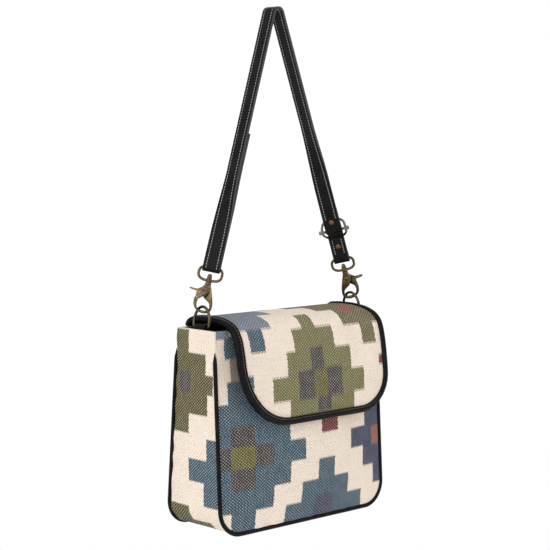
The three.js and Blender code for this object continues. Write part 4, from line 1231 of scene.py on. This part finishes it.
def billet_route():
    """Stations of the short strap: turned-back end, right eye, then up through the buckle to its tip."""
    route = []
    bar = RIGHT.length - BAR_ABOVE_EYE
    end = RIGHT.length - BILLET_BACK
    near = 1.35

    def closing(along):
        return ease(along, RIGHT.length - 11.0, RIGHT.length - 2.0)

    for index in range(13):
        along = mix(end, RIGHT.length, index / 14)
        route.append(RIGHT.layer(along, mix(-near, -EYE_FOLD, closing(along)), SKIVED))
    route.extend(fold(RIGHT, RIGHT.length + EYE_DROOP, 0.0, EYE_FOLD, SKIVED))
    for index in range(13, 3, -1):
        along = mix(end, RIGHT.length, index / 14)
        route.append(RIGHT.layer(along, mix(near, EYE_FOLD, closing(along)), SKIVED))
    over_loop = -2.0 + BAR_FOLD + 0.8 + 0.3 + SKIVED / 2
    under_rail = 7.0 - 2.0 - 1.1 - 0.3 - SKIVED / 2
    steps = [(13.4, mix(near, under_rail, 0.6)), (10.4, under_rail - 0.15), (5.0, mix(under_rail, over_loop, 0.75)),
             (0.0, over_loop + 0.1), (-5.0, mix(under_rail, over_loop, 0.75)), (-10.4, under_rail - 0.15),
             (-16.4, under_rail - 0.3), (-21.0, under_rail - 0.5), (-25.0, under_rail - 0.6)]
    route.extend(RIGHT.layer(bar + past, offset, SKIVED) for past, offset in steps)
    return route


def strap_piece(name, route, width):
    """Flat leather through its stations, with painted edges."""
    count = len(route) - 1
    ups = []
    for index in range(count + 1):
        along = route[min(index + 1, count)][0] - route[max(index - 1, 0)][0]
        ups.append(along.cross(route[index][1]).normalized())
    face = (-0.485, -0.25, 0.0, 0.25, 0.485)
    outline = [(-0.5, -0.34), *((a, -0.5) for a in face), (0.5, -0.34),
               (0.5, 0.34), *((-a, 0.5) for a in face), (-0.5, 0.34)]
    sides = len(outline)

    def place(u, v):
        step = round(u * count)
        centre, across, thickness = route[step]
        a, b = outline[round(v * sides) % sides]
        spot = centre + across * (a * width) + ups[step] * (b * thickness)
        return metres(*spot)

    piece = tube_from(name, count, sides, 40.0, place)
    skin = leather(f"{name} leather", 0.95, 0.40, 0.9, 0.10)
    paint(piece, skin, edge_paint(f"{name} edge"))
    for polygon in piece.data.polygons:
        middle = polygon.center
        nearest = min(route, key=lambda station: (metres(*station[0]) - middle).length_squared)
        polygon.material_index = 1 if abs(polygon.normal.dot(nearest[1])) > 0.75 else 0
    return piece


def strap_stitches(name, route, width, reach):
    """Two rows of stitches on the runs of each face. A run below zero is counted back from the strap's end."""
    stitch = bpy.context.scene.bag_stitches
    shape = stitch_shape(stitch.length, stitch.radius)
    lengths = [0.0]
    for (a, _, _), (b, _, _) in zip(route, route[1:]):
        lengths.append(lengths[-1] + (b - a).length)
    total = lengths[-1]
    pitch = stitch.pitch * 1000.0
    offset = width / 2 - stitch.inset * 1000.0

    def station(run):
        index = 0
        while index < len(lengths) - 2 and lengths[index + 1] < run:
            index += 1
        share = (run - lengths[index]) / (lengths[index + 1] - lengths[index])
        (p0, a0, t0), (p1, a1, t1) = route[index], route[index + 1]
        return p0.lerp(p1, share), a0.lerp(a1, share).normalized(), mix(t0, t1, share)

    places = []
    for face, low, high in reach:
        run = low if low > 0 else total + low
        last = high if high > 0 else total + high
        while run < last - pitch:
            centre, across, thickness = station(run)
            ahead, _, _ = station(run + pitch)
            along = (ahead - centre).normalized()
            up = along.cross(across).normalized() * face
            for row in (-offset, offset):
                spot = metres(*(centre.lerp(ahead, 0.5) + across * row + up * (thickness / 2 + 0.12)))
                places.append(stitch_place(spot, along, up))
            run += pitch
    piece = rows_of(name, shape, places)
    drop_object(shape)
    paint(piece, thread(f"{name} thread", tuple(stitch.thread)))
    return piece


# Metal


def packed_copy(node, name):
    """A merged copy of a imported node, ready to be finished."""
    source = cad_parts[node]
    mesh = source.data.copy()
    obj = stood(name, mesh)
    obj.matrix_world = source.matrix_world.copy()
    mesh.name = name
    settle(obj)
    pick(obj)
    bpy.ops.object.mode_set(mode="EDIT")
    bpy.ops.mesh.select_all(action="SELECT")
    bpy.ops.mesh.remove_doubles(threshold=2e-6)
    bpy.ops.mesh.dissolve_limited(angle_limit=math.radians(2.0))
    bpy.ops.mesh.normals_make_consistent(inside=False)
    bpy.ops.object.mode_set(mode="OBJECT")
    return obj


def worn_copy(node, name, rounding):
    piece = packed_copy(node, name)
    if rounding > 0:
        round_edges(piece, rounding)
    smooth(piece, 42.0)
    return piece


def ring_points(side):
    """Centre line of a D-ring: its bar, two small corners and the arch."""
    lean = math.asin(RING_LEAN / RING_HELD)
    corner, half_bar, half_arch = 2.4, 10.0, 16.2
    bends = [math.radians(-90 + 90 * index / 8) for index in range(1, 8)]
    turned = [(half_bar + corner * math.cos(angle), corner + corner * math.sin(angle)) for angle in bends]
    flat = [(mix(-half_bar, half_bar, index / 5), 0.0) for index in range(6)] + turned
    for index in range(41):
        angle = math.pi * index / 40
        flat.append(((half_bar + corner) * math.cos(angle), RING_HELD - half_arch + half_arch * math.sin(angle)))
    flat.extend((-y, z) for y, z in reversed(turned))
    return [metres(side * (RING_BAR[0] - z * math.sin(lean)), y, RING_BAR[1] + z * math.cos(lean)) for y, z in flat]


def eye_points(leg):
    """Centre line of an eye's wire, from one side of its boss round the strap to the other."""
    across, _, origin = leg.frame(leg.length)
    origin = origin + leg.down * EYE_TOP
    points = []
    for index in range(61):
        angle = math.radians(mix(-76.0, 256.0, index / 60))
        around = (math.cos(angle), math.sin(angle))
        x, z = (math.copysign(abs(value) ** (2 / EYE_SQUARENESS), value) for value in around)
        rise = EYE_BOTTOM + EYE_HALF_HEIGHT * (1.0 + z)
        points.append(metres(*(origin + across * (EYE_HALF_WIDTH * x) - leg.down * rise)))
    return points


# The view: the camera's place on the bag's base frame, its focal length in pixels and the picture's width
CAMERA = (-1218.7, -1291.2, 426.9)
FOCUS = 1595.8
PICTURE = 550.0
BEHIND_CAMERA = (-0.68, -0.72, -0.12)


# Operators: one for each piece or group of like pieces


class BAG_OT_panels(bpy.types.Operator):
    """Weaves the front and back panels."""

    bl_idname = "bag.panels"
    bl_label = "Panels"

    def execute(self, context):
        hang(panel_piece("front_cloth", -1, FRONT_FIELDS), "bag", "kilim", "front_panel")
        hang(panel_piece("back_cloth", 1, BACK_FIELDS), "bag", "kilim", "back_panel")
        return {"FINISHED"}


class BAG_OT_gusset(bpy.types.Operator):
    """Weaves the band round the sides and the base."""

    bl_idname = "bag.gusset"
    bl_label = "Gusset"

    def execute(self, context):
        hang(gusset_piece(), "bag", "kilim", "gusset")
        return {"FINISHED"}


class BAG_OT_piping(bpy.types.Operator):
    """Lays the leather piping along both seams."""

    bl_idname = "bag.piping"
    bl_label = "Piping"

    def execute(self, context):
        hang(piping_piece("front_seam_piping", -1), "bag", "trim_leather", "front_piping")
        hang(piping_piece("back_seam_piping", 1), "bag", "trim_leather", "back_piping")
        return {"FINISHED"}


class BAG_OT_lining(bpy.types.Operator):
    """Hangs the black lining inside the bag."""

    bl_idname = "bag.lining"
    bl_label = "Lining"

    def execute(self, context):
        hang(lining_piece(), "bag", "lining_cloth", "lining")
        return {"FINISHED"}


class BAG_OT_flap(bpy.types.Operator):
    """Makes the flap: cloth, lining, binding and its stitches."""

    bl_idname = "bag.flap"
    bl_label = "Flap"

    def execute(self, context):
        cloth = flap_sheet("flap_cloth", 2.6, 1.95, 2.4, kilim("Flap cloth", FLAP_FIELDS, 1.6))
        hang(cloth, "bag", "kilim", "flap_panel")
        inner = flap_sheet("flap_inner_cloth", 2.6, -0.75, 1.2, black_cloth("Flap lining cloth"))
        hang(inner, "bag", "lining_cloth", "flap_lining")
        hang(binding_piece(), "bag", "trim_leather", "flap_binding")
        hang(binding_stitches(), "bag", "trim_leather")
        return {"FINISHED"}


class BAG_OT_strap(bpy.types.Operator):
    """Lays both straps with their stitches."""

    bl_idname = "bag.strap"
    bl_label = "Strap"

    def execute(self, context):
        route = main_route()
        hang(strap_piece("long_strap", route, STRAP_WIDTH), "strap", "strap_leather", "strap_main")
        runs = ((-1, 2.0, 148.0), (-1, 160.0, -38.0), (1, 314.0, -38.0))
        hang(strap_stitches("long_strap_stitches", route, STRAP_WIDTH, runs), "strap", "strap_leather")
        billet = billet_route()
        hang(strap_piece("short_strap", billet, STRAP_WIDTH - 1.0), "strap", "strap_leather", "strap_billet")
        runs = ((1, 2.0, 22.0), (1, 38.0, -40.5), (-1, -30.5, -19.5), (-1, -9.5, -4.0), (1, -30.5, -19.5),
                (1, -9.5, -4.0))
        hang(strap_stitches("short_strap_stitches", billet, STRAP_WIDTH - 1.0, runs), "strap", "strap_leather")
        return {"FINISHED"}


class BAG_OT_hooks(bpy.types.Operator):
    """Finishes the trigger hooks and D-rings in aged brass."""

    bl_idname = "bag.hooks"
    bl_label = "Hooks"

    def execute(self, context):
        metal = context.scene.bag_metal
        brass = aged_metal("Antique brass", tuple(metal.brass), tuple(metal.patina))
        wire = steel("Spring wire", (0.42, 0.41, 0.39), 0.3)
        for side, sign, leg in (("left", -1, LEFT), ("right", 1, RIGHT)):
            ring = wire_through(f"ring_{side}", ring_points(sign), RING_WIRE, True, 6)
            paint(ring, brass)
            hang(ring, f"{side}_ring", "antique_brass", f"d_ring_{side}")
            for node, body, rounding in (
                ("eye", "eye", 0.0), ("swivel_post", "hook", metal.rounding), ("claw", "hook", metal.rounding),
                ("gate", "gate", metal.rounding * 0.8), ("pivot_rivet", "hook", metal.rounding * 0.5),
            ):
                piece = worn_copy(f"{node}_{side}", f"worn_{node}_{side}", rounding)
                paint(piece, brass)
                hang(piece, f"{side}_{body}", "antique_brass", f"{node}_{side}")
            bow = wire_through(f"eye_bow_{side}", eye_points(leg), EYE_WIRE, False, 6)
            paint(bow, brass)
            hang(bow, f"{side}_eye", "antique_brass")
            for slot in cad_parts[f"gate_spring_{side}"].material_slots:
                slot.material = wire
        return {"FINISHED"}


class BAG_OT_buckle(bpy.types.Operator):
    """Finishes the buckle and the strap's rivets."""

    bl_idname = "bag.buckle"
    bl_label = "Buckle"

    def execute(self, context):
        metal = context.scene.bag_metal
        silver = aged_metal("Aged silver", tuple(metal.silver), tuple(v * 0.4 for v in metal.patina), 0.32)
        copper = aged_metal("Copper brown", tuple(metal.copper), (0.030, 0.018, 0.012), 0.36)
        pieces = (
            ("buckle_frame", "buckle", "buckle_metal", silver), ("buckle_bar", "strap", "buckle_metal", silver),
            ("buckle_prong", "prong", "buckle_metal", silver), ("upper_rivet_cap", "strap", "rivet_metal", copper),
            ("upper_rivet_base", "strap", "rivet_metal", copper), ("lower_rivet_cap", "strap", "rivet_metal", copper),
            ("lower_rivet_base", "strap", "rivet_metal", copper),
        )
        for node, body, slot, material in pieces:
            piece = worn_copy(node, f"worn_{node}", metal.rounding * 0.7)
            paint(piece, material)
            hang(piece, body, slot, node)
        return {"FINISHED"}


class BAG_OT_tabs(bpy.types.Operator):
    """Finishes the leather tabs and the magnets."""

    bl_idname = "bag.tabs"
    bl_label = "Tabs and magnets"

    def execute(self, context):
        skin = leather("Tab leather", 1.0, 0.42)
        for side in ("left", "right"):
            piece = worn_copy(f"tab_{side}", f"sewn_tab_{side}", 0.0004)
            paint(piece, skin)
            hang(piece, "bag", "trim_leather", f"tab_{side}")
        plate = steel("Magnet plate", (0.55, 0.54, 0.52), 0.28)
        for node in ("flap_magnet", "panel_magnet"):
            piece = worn_copy(node, f"turned_{node}", 0.0003)
            paint(piece, plate)
            hang(piece, "bag", "magnet_steel", node)
        return {"FINISHED"}


class BAG_OT_stage(bpy.types.Operator):
    """Sets the floor, the lights and the camera."""

    bl_idname = "bag.stage"
    bl_label = "Stage"

    def execute(self, context):
        stage = context.scene.bag_stage
        low = CAD_BOUNDS[0][2] - stage.drop

        def sweep(u, v):
            run = v * 14.0
            x = (u - 0.5) * 24.0
            if run < 8.0:
                return Vector((x, run - 4.0, low))
            bend = min((run - 8.0) / 3.0, 1.0) * math.pi / 2
            rise = max(run - 11.0, 0.0) * 2.5
            return Vector((x, 4.0 + 2.0 * math.sin(bend), low + 2.0 * (1 - math.cos(bend)) + rise))

        floor = laid_grid("floor", 4, 60, sweep)
        turn = Matrix.Rotation(math.radians(-43.0), 4, "Z")
        for vertex in floor.data.vertices:
            vertex.co = turn @ vertex.co
        smooth(floor, 80.0)
        tree = Tree("Pale floor")
        speck = tree.fleck(tree.place(3.0), 2.0, 0.5)
        pale = tuple(stage.floor)
        tree.shade(Base_Color=tree.blend(speck, tuple(v * 0.985 for v in pale), pale), Roughness=0.9)
        paint(floor, tree.material)

        world = bpy.data.worlds.new("Studio")
        world.use_nodes = True
        sky = Graph(world.node_tree)
        surround = sky.nodes["Background"]
        behind = sky.dot(sky.coordinates("Generated"), BEHIND_CAMERA)
        sky.set(surround.inputs["Color"], (1.0, 1.0, 1.0))
        sky.set(surround.inputs["Strength"], sky.span(behind, 0.25, 0.85, stage.sky * 1.12, stage.sky * 0.25))
        context.scene.world = world
        context.scene.view_settings.view_transform = "Standard"

        data = bpy.data.lights.new("overhead", "SUN")
        data.energy = stage.soft
        data.angle = math.radians(100.0)
        light = stood("overhead", data)
        light.rotation_euler = Vector((0.62, 0.36, -0.70)).to_track_quat("-Z", "Y").to_euler()

        middle = Vector((0.0, 0.0, -0.38))
        for name, place, size, power in (
            ("key", Vector((-1.75, -0.75, 0.55)), 1.1, stage.key),
            ("fill", Vector((0.9, -1.7, 0.2)), 1.2, stage.fill),
        ):
            data = bpy.data.lights.new(name, "AREA")
            data.energy = power
            data.size = size
            light = stood(name, data)
            light.location = middle + place
            light.rotation_euler = (-place).to_track_quat("-Z", "Y").to_euler()

        data = bpy.data.cameras.new("camera")
        data.sensor_width = 36.0
        data.lens = FOCUS / PICTURE * 36.0
        data.shift_y = -60.0 / PICTURE
        data.clip_end = 60.0
        camera = stood("camera", data)
        camera.location = metres(*CAMERA)
        camera.rotation_euler = (math.radians(90.0 - 2.94), 0.0, math.radians(46.83 - 90.0))
        context.scene.camera = camera
        return {"FINISHED"}


class BAG_PT_sidebar(bpy.types.Panel):
    """Lists the bag's steps and settings."""

    bl_label = "Bag"
    bl_idname = "BAG_PT_sidebar"
    bl_space_type = "VIEW_3D"
    bl_region_type = "UI"
    bl_category = "Bag"

    def draw(self, context):
        layout = self.layout
        for name in STEPS:
            layout.operator(f"bag.{name}")
        for label, group in (("Cloth", "bag_kilim"), ("Leather", "bag_leather"), ("Stitches", "bag_stitches"),
                             ("Metal", "bag_metal"), ("Stage", "bag_stage")):
            box = layout.box()
            box.label(text=label)
            settings = getattr(context.scene, group)
            for key in settings.bl_rna.properties.keys():
                if key not in ("rna_type", "name"):
                    box.prop(settings, key)


STEPS = ("stage", "panels", "gusset", "piping", "lining", "flap", "strap", "hooks", "buckle", "tabs")
GROUPS = {
    "bag_kilim": KilimSettings,
    "bag_leather": LeatherSettings,
    "bag_stitches": StitchSettings,
    "bag_metal": MetalSettings,
    "bag_stage": StageSettings,
}
CLASSES = (
    *GROUPS.values(), BAG_OT_panels, BAG_OT_gusset, BAG_OT_piping, BAG_OT_lining, BAG_OT_flap, BAG_OT_strap,
    BAG_OT_hooks, BAG_OT_buckle, BAG_OT_tabs, BAG_OT_stage, BAG_PT_sidebar,
)


def register():
    for each in CLASSES:
        bpy.utils.register_class(each)
    for name, group in GROUPS.items():
        setattr(bpy.types.Scene, name, PointerProperty(type=group))


def unregister():
    for name in GROUPS:
        delattr(bpy.types.Scene, name)
    for each in reversed(CLASSES):
        bpy.utils.unregister_class(each)


def main():
    register()
    for name in STEPS:
        getattr(bpy.ops.bag, name)()


if __name__ == "__main__":
    main()
